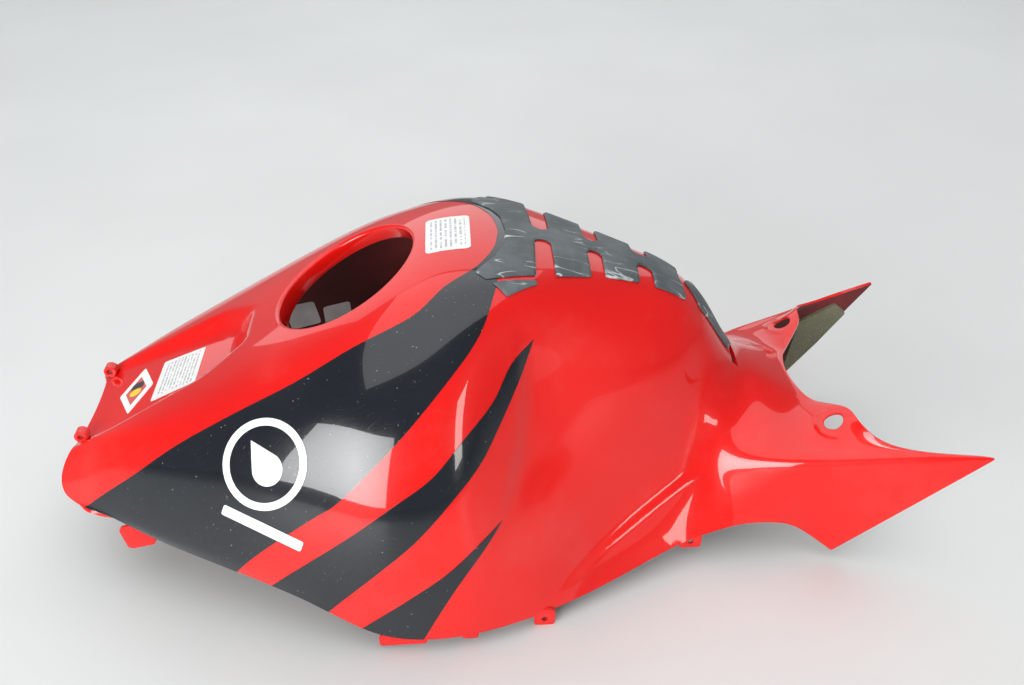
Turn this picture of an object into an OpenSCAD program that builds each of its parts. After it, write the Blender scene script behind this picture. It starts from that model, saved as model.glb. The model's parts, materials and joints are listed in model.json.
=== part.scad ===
// Painted cover that closes over the fuel tank of a sports motorcycle.
// X runs forward, Y to the rider's left, Z up. The origin is under the middle of the part.
// Sections and outlines are measured from the centre of the filler opening.

/* [Filler opening] */
// Radius of the filler opening
filler_r = 67; // [55:0.5:70]
// Nose-down tilt of the filler opening
filler_tilt = 28.6; // [24:0.1:33]
// Depth of the collar below the skin
collar_depth = 16; // [10:1:24]
// Wall of the collar
collar_wall = 3.5; // [2.5:0.5:5]

/* [Shell] */
// Thickness of the moulded skin
skin_t = 2.8; // [2.2:0.1:3.5]
// Mesh steps between two neighbouring sections
section_steps = 2; // [2:1:3]
// Mesh steps between two neighbouring rails
rail_steps = 2; // [2:1:3]
// Depth of the dish in front of the filler, at its front end
dish_front = 6; // [3:0.5:8]
// How much the dish deepens per millimetre towards the filler
dish_fall = 0.11; // [0.05:0.01:0.13]
// How far the knee panel is set in above its crease
knee_inset = 4.5; // [2:0.5:6]
// How far the knee panel is set in behind its front roll
brow_inset = 3.5; // [1:0.5:5]

/* [Fixings] */
// Radius of each seat bolt hole
seat_bolt_r = 8.5; // [6:0.25:9.5]
// Radius of the flat pad round each seat bolt hole
seat_pad_r = 12.5; // [11:0.25:13.5]
// Radius of the screw holes in the lower tabs
tab_hole_r = 2.6; // [2:0.1:3.2]
// Radius of the holes in the front lugs
lug_hole_r = 2.5; // [2:0.1:3]
// Outer radius of the front lugs
lug_r = 6; // [5:0.25:7]
// Length of the front lugs
lug_len = 10; // [6:1:12]
// Thickness of the lower tabs
tab_t = 3; // [2:0.25:3.5]

/* [Graphics and pad] */
// Gap between one layer and what it is stuck to
glue_gap = 0.05; // [0.03:0.01:0.1]
// Thickness of the vinyl graphics
vinyl_t = 0.3; // [0.2:0.05:0.5]
// Thickness of the paper labels
label_t = 0.3; // [0.2:0.05:0.5]
// Thickness of the rubber tank pad
pad_t = 2.2; // [1.5:0.1:3]
// Thickness of the heat pads inside the tails
heat_pad_t = 3; // [2:0.5:4]

/* [Hidden] */
$fn = 64;
skin_red = "#d81418";
vinyl_black = "#15181c";
emblem_white = "#eceef0";
rubber_grey = "#3c4248";
label_white = "#f2f2ee";
heat_olive = "#7d7c5c";

// where the centre of the filler opening lies in the part's frame
filler_at = [145, 0, 250];

// Sections from nose to tail. Each has twelve points: rails 0 to 11 run from the centre line
// over the crest (rail 3) and the flank to the hem (rail 11). They steer a smooth surface.
sections = [
  [[238,0,-130], [239,25,-130.5], [240.5,43,-131], [243,56,-131], [248,64,-138], [252,70,-146],
   [254,75,-154], [254,78.5,-162], [251.5,81,-168], [247,83,-172], [239,88,-174.5], [228,95,-174]],
  [[215,0,-118], [215,28,-118], [216,52,-118.5], [217,69,-119], [218,78,-127], [217,84,-136],
   [216,89,-147], [215,93,-157], [213,96,-165], [210,99,-171], [207,101,-175], [203,104,-178]],
  [[175,0,-95.5], [175,35,-95.5], [175,62,-96], [175,80,-98], [175,90,-104], [175,98,-115],
   [175,106,-130], [175,112,-147], [175,117,-163], [175,120,-174], [174,121,-181], [172,120,-187]],
  [[128,0,-70], [128,38,-70], [128,66,-71], [128,85,-74], [128,99,-80], [128,111,-92],
   [128,122,-111], [128,132,-134], [128,139,-156], [128,142.5,-172], [128,143,-183], [128,141,-192]],
  [[80,0,-43.8], [80,38,-44], [80,68,-45], [80,88,-48], [80,105,-55], [80,121,-68],
   [80,137,-91], [80,150,-120], [80,160,-148], [80,164,-170], [80,165,-185], [80,164,-197]],
  [[30,0,-16], [30,38,-16.3], [30,72,-17.8], [30,94,-22], [30,113,-31], [30,132,-48],
   [30,151,-74], [30,167,-107], [30,179,-139], [30,185,-166], [30,187.5,-187], [30,187,-204]],
  [[-20,0,11.5], [-20,38,11], [-20,74,8.5], [-20,97,3], [-20,117,-8], [-20,138,-26],
   [-20,160,-55], [-20,180,-92], [-20,195,-131], [-20,202,-166], [-20,205,-198], [-20,206,-230]],
  [[-65,0,33], [-65,36,32], [-65,68,27.5], [-65,90,20.5], [-65,110,7], [-65,133,-15],
   [-65,157,-47], [-65,178,-87], [-65,194,-129], [-65,203,-166], [-65,206.5,-201], [-65,207,-236]],
  [[-102,0,39], [-102,36,38], [-102,66,34.5], [-102,90,30], [-102,110,15], [-102,128,-8],
   [-102,147,-40], [-102,167,-82], [-102,185,-126], [-102,197,-166], [-102,202,-201], [-102,203,-236]],
  [[-148,0,37.5], [-148,32,36.5], [-148,60,34], [-148,82,29], [-148,95,10], [-148,103,-16],
   [-148,113,-49], [-148,130,-91], [-148,150,-131], [-148,169,-171], [-148,182,-206], [-148,190,-236]],
  [[-200,0,24.5], [-200,26,23.5], [-200,48,19.5], [-200,64,10], [-200,78,-8], [-200,91,-35],
   [-200,103,-72], [-200,116,-113], [-200,131,-158], [-200,148,-207], [-200,157,-224], [-200,166,-235]],
  [[-250,0,7.5], [-250,20,6], [-250,37,1], [-250,50,-9], [-250,65,-27], [-250,79,-56],
   [-250,91,-94], [-250,102,-135], [-250,113,-174], [-250,125,-205], [-250,132,-220], [-250,140,-230]],
  [[-293,0,-11], [-293,16,-12], [-293,30,-17], [-293,42,-28], [-293,54,-47], [-293,66,-75],
   [-293,76,-107], [-293,85,-139], [-293,94,-168], [-293,103,-191], [-293,112,-208], [-293,119,-223]],
  [[-323,0,-40], [-321,15,-41], [-318,27,-46], [-316,37,-56], [-314,47,-74], [-314,57,-98],
   [-315,66,-121], [-317,74,-143], [-319,83,-160], [-320,91,-178], [-321,103,-198], [-322,114,-217]],
  [[-347,0,-92], [-346,24,-95], [-346,33,-103], [-346,43,-114], [-345,53,-124], [-344,63,-133],
   [-344,74,-140], [-344,86,-146], [-344,95,-157], [-344,100,-172], [-345,106,-192], [-347,112,-210]],
  [[-372,0,-104], [-372,27,-107], [-372,42,-115], [-372,56,-122], [-372,70,-129], [-373,82,-134],
   [-374,93,-138], [-375,103,-141], [-376,109,-149], [-377,111,-165], [-378,112,-186], [-380,113,-209]],
  [[-392,0,-114.5], [-395,31,-117], [-398,46,-124], [-400,60,-128.5], [-402,74,-132], [-403,87,-134],
   [-404,98,-136], [-405,109,-135], [-406,116,-142], [-405,116.5,-156], [-402,116,-185], [-398,115,-213]],
  [[-402,0,-120], [-407,30,-122], [-412,44,-126.5], [-419,58,-124.5], [-424,75,-121.5], [-425,92,-121],
   [-432,106,-130.5], [-445,117.5,-128.5], [-450,126.5,-133], [-447,125.5,-147], [-436,123,-190],
   [-418,119,-228]],
  [[-405,0,-121.3], [-411,31,-123.3], [-418,45,-126.5], [-430,62,-118], [-435,76,-115], [-436,93,-114.5],
   [-449,114,-127.5], [-490,130,-118.5], [-494,138,-123.5], [-488,135.5,-138.5], [-466,130,-170],
   [-431,122,-238]],
  [[-407,0,-122], [-414,33,-124], [-423,46,-126], [-440,68,-112.5], [-444,82,-110.5], [-444,100,-110.5],
   [-463,122,-124.5], [-541,146,-113.5], [-544,148.5,-115], [-541,148,-118], [-500,139,-163],
   [-433,122,-239]]];
last_section = len(sections) - 1;
last_rail = len(sections[0]) - 1;

// ---- the smooth surface: a cubic spline both ways over the sections ----
function blend_weights(t) = [pow(1 - t, 3), 3*t*t*t - 6*t*t + 4, -3*t*t*t + 3*t*t + 3*t + 1, t*t*t] / 6;
function mirrored(p) = [p[0], -p[1], p[2]];
// a rail point, carried on past the hem and mirrored across the centre line
function rail_point(s, r) =
  r < 0 ? mirrored(s[-r]) :
  r > last_rail ? 2*s[last_rail] - s[last_rail - 1] : s[r];
// a section row, carried on past both ends
function control(k, r) =
  k < 0 ? 2*rail_point(sections[0], r) - rail_point(sections[1], r) :
  k > last_section ? 2*rail_point(sections[last_section], r) - rail_point(sections[last_section - 1], r) :
  rail_point(sections[k], r);
// point of the undished half surface at section u and rail v
function smooth_point(u, v) =
  let (i = min(floor(u), last_section - 1), j = min(floor(v), last_rail - 1),
       wu = blend_weights(u - i), wv = blend_weights(v - j))
  [for (axis = [0:2])
    wu * [for (a = [0:3]) wv * [for (b = [0:3]) control(i + a - 1, j + b - 1)[axis]]]];
function soft_step(a, b, x) = let (t = max(0, min(1, (x - a) / (b - a)))) t*t*(3 - 2*t);
// The dish in front of the filler: where its front and rear ends lie, and how its side edges
// draw together from the front end, and faster near the rear end, over a steep side wall.
dish_x_front = 216;
dish_x_rear = [84, 104];
dish_half_width = 61;
dish_draw = 0.09;
dish_wall = 13;
dish_nose = [88, 128];
dish_nose_draw = 18;
// how far the dish drops the surface
function dish_depth(p) =
  let (back = dish_x_front - p[0],
       edge = dish_half_width - back*dish_draw
         - dish_nose_draw*(1 - soft_step(dish_nose[0], dish_nose[1], p[0])))
  (dish_front + back*dish_fall)
    * soft_step(dish_x_rear[0], dish_x_rear[1], p[0])
    * (1 - soft_step(edge - dish_wall, edge, abs(p[1])));
// The knee panel is set in above a crease that runs from the neck of the tail forward and down.
// The crease starts here (x, z) and climbs backward; the step is this wide and dies out upward
// over the second range.
knee_crease_at = [-313, -168];
knee_crease_up = [0.398, 0.917];
knee_step_width = 8;
knee_fade_up = [20, 115];
knee_fade_rear = [-322, -290];
knee_fade_front = [-240, -150];
// In front the panel starts behind a second, upright roll, bowed forward at its ends.
brow_x = -143;
brow_bow = 15;
brow_mid_z = -45;
brow_half = 80;
brow_step_width = 12;
brow_fade_back = [25, 120];
brow_fade_top = [-50, 18];
brow_fade_low = [-165, -105];
function brow_depth(p) =
  let (d = brow_x + brow_bow*pow((p[2] - brow_mid_z)/brow_half, 2) - p[0])
  brow_inset * soft_step(0, brow_step_width, d)
    * (1 - soft_step(brow_fade_back[0], brow_fade_back[1], d))
    * (1 - soft_step(brow_fade_top[0], brow_fade_top[1], p[2]))
    * soft_step(brow_fade_low[0], brow_fade_low[1], p[2]);
function crease_depth(p) =
  let (d = (p[0] - knee_crease_at[0])*knee_crease_up[0] + (p[2] - knee_crease_at[1])*knee_crease_up[1])
  knee_inset * soft_step(0, knee_step_width, d) * (1 - soft_step(knee_fade_up[0], knee_fade_up[1], d))
    * soft_step(knee_fade_rear[0], knee_fade_rear[1], p[0])
    * (1 - soft_step(knee_fade_front[0], knee_fade_front[1], p[0]));
function knee_depth(p) = crease_depth(p) + brow_depth(p);
function surface_point(u, v) =
  let (q = smooth_point(u, abs(v)), p = [q[0], q[1] - knee_depth(q), q[2]], s = v < 0 ? mirrored(p) : p)
  [s[0], s[1], s[2] - dish_depth(s)];

// ---- the mesh of the surface, one row per section step ----
row_count = last_section * section_steps;
side_count = last_rail * rail_steps;
skin = [for (i = [0:row_count])
  [for (j = [-side_count:side_count]) surface_point(i / section_steps, j / rail_steps)]];
function unit(v) = v / norm(v);
function skin_normal(i, j) =
  let (i0 = max(i - 1, 0), i1 = min(i + 1, row_count), j0 = max(j - 1, 0), j1 = min(j + 1, 2*side_count))
  unit(cross(skin[i0][j] - skin[i1][j], skin[i][j1] - skin[i][j0]));
// The thin tails are offset sideways, so their fold keeps its thickness. The change-over runs
// between these section and rail numbers.
tail_sections = [15.5, 17.5];
tail_rails = [5, 6.5];
tail_way = [0.25, 0.85, 0.45];
function tail_share(i, j) =
  soft_step(tail_sections[0], tail_sections[1], i / section_steps)
    * soft_step(tail_rails[0], tail_rails[1], abs(j - side_count) / rail_steps);
function offset_way(i, j) =
  let (w = tail_share(i, j), out = unit(j < side_count ? mirrored(tail_way) : tail_way))
  unit(skin_normal(i, j)*(1 - w) + out*w);
ways = [for (i = [0:row_count]) [for (j = [0:2*side_count]) offset_way(i, j)]];

// closed layer of the surface between two heights over a range of rows and columns
module layer(rows, columns, low, high) {
  nr = rows[1] - rows[0] + 1;
  nc = columns[1] - columns[0] + 1;
  function sheet(h) = [for (i = [rows[0]:rows[1]]) for (j = [columns[0]:columns[1]])
    skin[i][j + side_count] + ways[i][j + side_count]*h];
  function at(top, i, j) = top*nr*nc + i*nc + j;
  function quad(a, b, c, d) = [[a, b, c], [a, c, d]];
  tops = [for (i = [0:nr - 2]) for (j = [0:nc - 2])
    each quad(at(1, i, j), at(1, i + 1, j), at(1, i + 1, j + 1), at(1, i, j + 1))];
  bottoms = [for (i = [0:nr - 2]) for (j = [0:nc - 2])
    each quad(at(0, i, j), at(0, i, j + 1), at(0, i + 1, j + 1), at(0, i + 1, j))];
  ends = [for (j = [0:nc - 2]) each concat(
    quad(at(0, 0, j), at(1, 0, j), at(1, 0, j + 1), at(0, 0, j + 1)),
    quad(at(0, nr - 1, j), at(0, nr - 1, j + 1), at(1, nr - 1, j + 1), at(1, nr - 1, j)))];
  sides = [for (i = [0:nr - 2]) each concat(
    quad(at(0, i, 0), at(0, i + 1, 0), at(1, i + 1, 0), at(1, i, 0)),
    quad(at(0, i, nc - 1), at(1, i, nc - 1), at(1, i + 1, nc - 1), at(0, i + 1, nc - 1)))];
  polyhedron(concat(sheet(low), sheet(high)), concat(tops, bottoms, ends, sides));
}

// ---- outlines ----
// smooth curve through a few points, as a list of points
function curve_through(p, steps = 5) =
  let (n = len(p) - 1)
  [for (i = [0:n - 1]) for (k = [0:steps - 1])
    let (t = k / steps, a = p[max(i - 1, 0)], b = p[i], c = p[i + 1], d = p[min(i + 2, n)])
    (2*b + (c - a)*t + (2*a - 5*b + 4*c - d)*t*t + (3*b - a - 3*c + d)*t*t*t) / 2,
   p[n]];
function reversed(p) = [for (i = [len(p) - 1:-1:0]) p[i]];

// A flank outline is drawn on a plane that leans out 45 degrees: x forward, y down the flank.
module flank_prism() { rotate([-45, 0, 0]) linear_extrude(400) children(); }
// A roof outline is drawn from above, a wall outline from the left: x forward, y up.
module roof_prism() { translate([0, 0, -300]) linear_extrude(500) children(); }
module wall_prism() { rotate([90, 0, 0]) translate([0, 0, -300]) linear_extrude(300) children(); }
module on_side(side) { if (side > 0) children(); else mirror([0, 1, 0]) children(); }

// rows of the mesh that lie between two section numbers
function rows_of(a, b) = [a*section_steps, b*section_steps];
function columns_of(a, b) = [a*rail_steps, b*rail_steps];

module flank_sticker(side, rows, columns, lift, thick) {
  translate(filler_at) on_side(side) intersection() {
    layer(rows, columns, lift, lift + thick);
    flank_prism() children();
  }
}
module roof_sticker(rows, columns, lift, thick) {
  translate(filler_at) intersection() {
    layer(rows, columns, lift, lift + thick);
    roof_prism() children();
  }
}

panel_front_edge = curve_through([[262,201], [216,180], [180,165], [136,144], [83,123], [33,104], [-14,81],
  [-62,59], [-88,35], [-111,19], [-123,6], [-131,-8], [-135,-28]]);
panel_rear_edge = curve_through([[-143,-32], [-137,4], [-131,28], [-128,40], [-115,75], [-90,110],
  [-48,157], [-3,197], [23,211], [67,233], [93,248], [112,262]]);
module side_panel_shape() {
  polygon(concat(panel_front_edge, panel_rear_edge, [[112,290], [262,290]]));
}
wave_front_edge = curve_through([[-158,77], [-139,97], [-123,127], [-99,156], [-73,185], [-41,206], [-2,229],
  [63,261], [84,272]]);
wave_rear_edge = curve_through([[-158,77], [-145,109], [-127,146], [-111,175], [-87,204], [-58,233],
  [-25,257], [13,282], [32,296]]);
module wave_stripe_shape() { polygon(concat(wave_front_edge, reversed(wave_rear_edge))); }
spear_front_edge = curve_through([[-128,218], [-87,255], [-48,279], [-13,298], [2,308]]);
spear_rear_edge = curve_through([[-128,218], [-113,240], [-87,273], [-61,310], [-54,322]]);
module spear_shape() { polygon(concat(spear_front_edge, reversed(spear_rear_edge))); }

// plain emblem: a ring round a fuel drop
emblem_at = [60, 166];
emblem_r = 36;
emblem_ring_w = 6;
emblem_turn = 28;
drop_r = 13;
module emblem_shape() {
  translate(emblem_at) rotate(emblem_turn) {
    difference() { circle(emblem_r); circle(emblem_r - emblem_ring_w); }
    hull() { translate([0, 5]) circle(drop_r); translate([0, -22]) circle(1); }
  }
}
// plain bar below the emblem
bar_at = [66, 215];
bar_size = [74, 8];
bar_turn = -27;
module emblem_bar_shape() { translate(bar_at) rotate(bar_turn) square(bar_size, center = true); }

module side_panel(side) {
  color(vinyl_black) flank_sticker(side, rows_of(0, 10), columns_of(0, last_rail), glue_gap, vinyl_t)
    side_panel_shape();
}
module wave_stripe(side) {
  color(vinyl_black) flank_sticker(side, rows_of(3, 10), columns_of(3, last_rail), glue_gap, vinyl_t)
    wave_stripe_shape();
}
module spear(side) {
  color(vinyl_black) flank_sticker(side, rows_of(5, 10), columns_of(7, last_rail), glue_gap, vinyl_t)
    spear_shape();
}
emblem_lift = 2*glue_gap + vinyl_t;
module emblem(side) {
  color(emblem_white) flank_sticker(side, rows_of(3, 6), columns_of(4, 10), emblem_lift, vinyl_t)
    emblem_shape();
}
module emblem_bar(side) {
  color(emblem_white) flank_sticker(side, rows_of(3, 6), columns_of(5, last_rail), emblem_lift, vinyl_t)
    emblem_bar_shape();
}
module side_panel_left() { side_panel(1); }
module side_panel_right() { side_panel(-1); }
module wave_stripe_left() { wave_stripe(1); }
module wave_stripe_right() { wave_stripe(-1); }
module spear_left() { spear(1); }
module spear_right() { spear(-1); }
module emblem_left() { emblem(1); }
module emblem_right() { emblem(-1); }
module emblem_bar_left() { emblem_bar(1); }
module emblem_bar_right() { emblem_bar(-1); }

// ---- rubber tank pad ----
// head, then three ribs on a narrow spine; half outlines, mirrored about the centre line
pad_spine = 9;
pad_head = [[-141,0], [-138,26], [-130,44], [-113,65], [-121,74], [-139,70], [-162,63], [-165,pad_spine + 4],
  [-169,pad_spine]];
pad_ribs = [[-175,pad_spine], [-179,pad_spine + 4], [-179,58], [-210,46], [-210,pad_spine + 6],
  [-213,pad_spine], [-219,pad_spine], [-223,pad_spine + 4], [-223,41], [-254,33], [-254,pad_spine + 6],
  [-257,pad_spine], [-264,pad_spine], [-268,pad_spine + 4], [-268,31], [-297,27], [-294,0]];
pad_side = concat(pad_head, pad_ribs);
module pad_body() {
  color(rubber_grey) roof_sticker(rows_of(8, 13), columns_of(-4, 4), emblem_lift, pad_t)
    polygon(concat(pad_side, [for (p = reversed(pad_side)) if (p[1] > 0) [p[0], -p[1]]]));
}
// arrow-shaped tail of the pad, down the rear wall; drawn looking along X
pad_tail_side = [[3,-21], [20,-36], [18,-62], [15,-84], [0,-90]];
module pad_tail() {
  color(rubber_grey) translate(filler_at) intersection() {
    layer(rows_of(12, 14), columns_of(-3, 3), emblem_lift, emblem_lift + pad_t);
    translate([-400, 0, 0]) rotate([90, 0, 90]) linear_extrude(120)
      polygon(concat(pad_tail_side, [for (p = reversed(pad_tail_side)) if (p[0] > 0) [-p[0], p[1]]]));
  }
}
pad_diamond_corners = [[-126,78], [-137,87], [-163,71], [-162,68], [-133,75.5]];
module pad_diamond(side) {
  color(rubber_grey) translate(filler_at) on_side(side) intersection() {
    layer(rows_of(8, 10), columns_of(1, 5), emblem_lift, emblem_lift + pad_t);
    roof_prism() polygon(pad_diamond_corners);
  }
}
module pad_diamond_left() { pad_diamond(1); }
module pad_diamond_right() { pad_diamond(-1); }

// ---- labels ----
module rounded_plate(lx, ly, r) {
  hull() for (x = [-1, 1], y = [-1, 1]) translate([x*(lx/2 - r), y*(ly/2 - r)]) circle(r);
}
module rear_label() {
  color(label_white) roof_sticker(rows_of(6, 9), columns_of(-2, 2), glue_gap, label_t)
    translate([-92, 0]) rounded_plate(38, 60, 4);
}
module front_label() {
  color(label_white) roof_sticker(rows_of(1, 4), columns_of(-2, 2), glue_gap, label_t)
    polygon([[136,-28], [136,28], [177.5,31], [177.5,-31]]);
}
module front_sign() {
  color(label_white) roof_sticker(rows_of(0, 3), columns_of(-2, 2), glue_gap, label_t)
    polygon([[198,-36], [182,0], [198,36], [215,0]]);
}
// a piece stuck to the inner face of a flank wall
module inner_sticker(side, rows, columns, thick) {
  inner_face = -skin_t - glue_gap;
  translate(filler_at) on_side(side) intersection() {
    layer(rows, columns, inner_face - thick, inner_face);
    wall_prism() children();
  }
}
// two labels on the inside of the right flank
module inner_label(corners) {
  color(label_white) inner_sticker(-1, rows_of(3, 7), columns_of(6, 10), label_t) polygon(corners);
}
module inner_label_front() { inner_label([[84,-119], [54,-121], [50,-156], [80,-156]]); }
module inner_label_rear() { inner_label([[46,-134], [18,-134], [18,-162], [46,-162]]); }

// ---- heat pads inside the tails ----
heat_pad_side = [[-461,-145], [-502,-131], [-516,-144], [-501,-163], [-454,-210], [-452,-196]];
module heat_pad(side) {
  color(heat_olive) inner_sticker(side, rows_of(16, last_section), columns_of(9, last_rail), heat_pad_t)
    polygon(heat_pad_side);
}
module heat_pad_left() { heat_pad(1); }
module heat_pad_right() { heat_pad(-1); }

// ---- the moulded cover ----
module filler_bore() { rotate([0, filler_tilt, 0]) cylinder(r = filler_r, h = 120, center = true); }
// turned-in collar round the filler opening; its top hides in the thickness of the skin
module filler_collar() {
  rotate([0, filler_tilt, 0]) translate([0, 0, -collar_depth])
    cylinder(r = filler_r + collar_wall, h = collar_depth - skin_t);
}
// flat pads and holes for the two seat bolts, on the upturned ears
seat_bolt_at = [-427, 81.7, -119.2];
seat_bolt_tilt = 29.1;
seat_pad_t = 3.6;
module at_seat_bolts() {
  for (p = [seat_bolt_at, mirrored(seat_bolt_at)]) translate(p) rotate([0, seat_bolt_tilt, 0]) children();
}
module seat_pad() { translate([0, 0, 0.2 - seat_pad_t]) cylinder(r = seat_pad_r, h = seat_pad_t); }
// lugs on the two front corners of the crest, drilled along Y
lug_at = [236, 50, -126];
module at_lugs() {
  for (p = [lug_at, mirrored(lug_at)]) translate(p) rotate([90, 0, 0]) children();
}
// tabs along each hem: x, y, z of the middle of the tab's root, length, drop
tabs = [[-43,202,-236,40,8], [-99,198,-236,14,9], [-163,183,-236,18,14], [-303,113,-222,20,14]];
holed_tabs = [tabs[2], tabs[3]];
tab_overlap = 8;
module tab(t) {
  translate([t[0] - t[3]/2, t[1] - tab_t, t[2] - t[4]]) cube([t[3], tab_t, t[4] + tab_overlap]);
}
module tab_bore(t) {
  translate([t[0], t[1], t[2] - t[4]/2]) rotate([90, 0, 0]) cylinder(r = tab_hole_r, h = 14, center = true);
}
// tab under the front of each hem
front_tab_at = [172, 107, -204];
front_tab_size = 26;
module front_tab() {
  translate(front_tab_at) rotate([0, 12, 0]) cube([front_tab_size, tab_t, front_tab_size]);
}
// slit across the foot of the rear wall
slit_at = [-350, 0, -96];
slit_size = [6, 50, 30];
module slit() { translate(slit_at) cube(slit_size, center = true); }
module cover_shell() {
  color(skin_red) translate(filler_at) difference() {
    union() {
      layer([0, row_count], [-side_count, side_count], -skin_t, 0);
      filler_collar();
      at_seat_bolts() seat_pad();
      at_lugs() cylinder(r = lug_r, h = lug_len, center = true);
      for (side = [-1, 1]) on_side(side) { for (t = tabs) tab(t); front_tab(); }
    }
    filler_bore();
    at_seat_bolts() cylinder(r = seat_bolt_r, h = 30, center = true);
    at_lugs() cylinder(r = lug_hole_r, h = lug_len + 2, center = true);
    for (side = [-1, 1]) on_side(side) for (t = holed_tabs) tab_bore(t);
    slit();
  }
}

cover_shell();
side_panel_left();
side_panel_right();
wave_stripe_left();
wave_stripe_right();
spear_left();
spear_right();
emblem_left();
emblem_right();
emblem_bar_left();
emblem_bar_right();
pad_body();
pad_tail();
pad_diamond_left();
pad_diamond_right();
rear_label();
front_label();
front_sign();
inner_label_front();
inner_label_rear();
heat_pad_left();
heat_pad_right();
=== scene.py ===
# %% [markdown]
# # A painted cover for a motorcycle's fuel tank
# The real piece is one thin plastic moulding, sprayed bright red. Black vinyl, white vinyl, a few
# paper labels and a rubber pad are stuck on top of it, and two felt heat pads sit inside its tails.
# Every stuck-on piece follows the moulding, so this lesson first makes one smooth surface and then
# cuts every piece out of it. The CAD model gives the place, the size and the mounts.

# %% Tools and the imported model
import json
import math

import bpy
import numpy as np
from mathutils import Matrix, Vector
from mathutils.geometry import delaunay_2d_cdt


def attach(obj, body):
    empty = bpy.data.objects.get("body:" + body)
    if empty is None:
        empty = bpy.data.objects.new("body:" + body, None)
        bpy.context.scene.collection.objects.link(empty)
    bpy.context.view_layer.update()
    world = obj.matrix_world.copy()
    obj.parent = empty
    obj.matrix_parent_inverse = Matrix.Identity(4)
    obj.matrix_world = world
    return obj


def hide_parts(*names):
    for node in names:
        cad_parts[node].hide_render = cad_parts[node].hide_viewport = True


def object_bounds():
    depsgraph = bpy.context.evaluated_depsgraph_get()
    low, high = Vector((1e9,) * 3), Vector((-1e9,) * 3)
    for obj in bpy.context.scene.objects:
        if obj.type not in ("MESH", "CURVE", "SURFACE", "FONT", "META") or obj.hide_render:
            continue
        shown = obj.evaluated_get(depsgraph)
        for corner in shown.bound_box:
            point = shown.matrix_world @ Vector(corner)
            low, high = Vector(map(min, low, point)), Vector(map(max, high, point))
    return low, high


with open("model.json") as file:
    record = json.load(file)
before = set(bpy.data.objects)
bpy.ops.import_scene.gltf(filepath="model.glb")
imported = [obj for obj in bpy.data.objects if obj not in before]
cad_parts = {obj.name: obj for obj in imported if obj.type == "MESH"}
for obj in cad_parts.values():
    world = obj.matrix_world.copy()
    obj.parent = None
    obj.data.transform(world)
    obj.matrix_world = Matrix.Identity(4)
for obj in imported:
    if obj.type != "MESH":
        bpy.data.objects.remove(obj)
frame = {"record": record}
cad_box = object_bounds()
mounts = {mount["name"]: mount for mount in frame["record"]["mounts"]}
print("CAD box, metres:", [tuple(round(c, 4) for c in corner) for corner in cad_box])

# %% [markdown]
# ## Where things are measured from
# The filler opening is the piece that everything else is laid out from, as in the CAD. Lengths below
# are millimetres from its centre: x forward, y to the rider's left, z up. One function turns them
# into Blender's metres.

# %% The filler opening as the origin of the drawing
MM = 0.001
filler = mounts["filler_opening"]
filler_r = filler["dims"]["r_mm"]
filler_axis = np.array(filler["axis"])
filler_mid_depth = 8
filler_centre = np.array(filler["pos_m"]) + filler_mid_depth * MM * filler_axis


def to_metres(points):
    """Millimetres from the filler's centre, as metres in the model's frame."""
    return np.asarray(points, float) * MM + filler_centre


def to_drawing(point_m):
    """A place in the model's frame, as millimetres from the filler's centre."""
    return (np.array(point_m) - filler_centre) / MM


print("filler centre, metres:", filler_centre.round(4), "radius, mm:", filler_r)

# %% [markdown]
# ## The camera first
# A camera set up early shows every later step in the same framing. It looks at the left side from
# above, slightly from behind the middle. Its height and its distance come from the way the parallel
# lines of the part run together.

# %% Camera
camera_data = bpy.data.cameras.new("camera")
camera_data.sensor_width = 36
camera_data.lens = 36.56
camera = bpy.data.objects.new("camera", camera_data)
camera.location = to_metres((-95, 793.6, 446.6))
look = Vector((-0.0545, -0.8328, -0.5509))
camera.rotation_euler = look.to_track_quat("-Z", "Y").to_euler()
bpy.context.scene.collection.objects.link(camera)
bpy.context.scene.camera = camera
print("camera at", tuple(round(c, 3) for c in camera.location))

# %% [markdown]
# ## One surface for everything
# A moulding like this could be sculpted, or modelled by hand from a few quads under a subdivision
# modifier. Here it is drawn the way a boat is: sections from nose to tail, each with twelve points
# from the centre line over the crest and down the flank to the hem. A cubic B-spline smooths them
# both ways. Its advantage is that any place on the surface has two numbers, so a sticker can
# be cut from the very same skin that it lies on.

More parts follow.
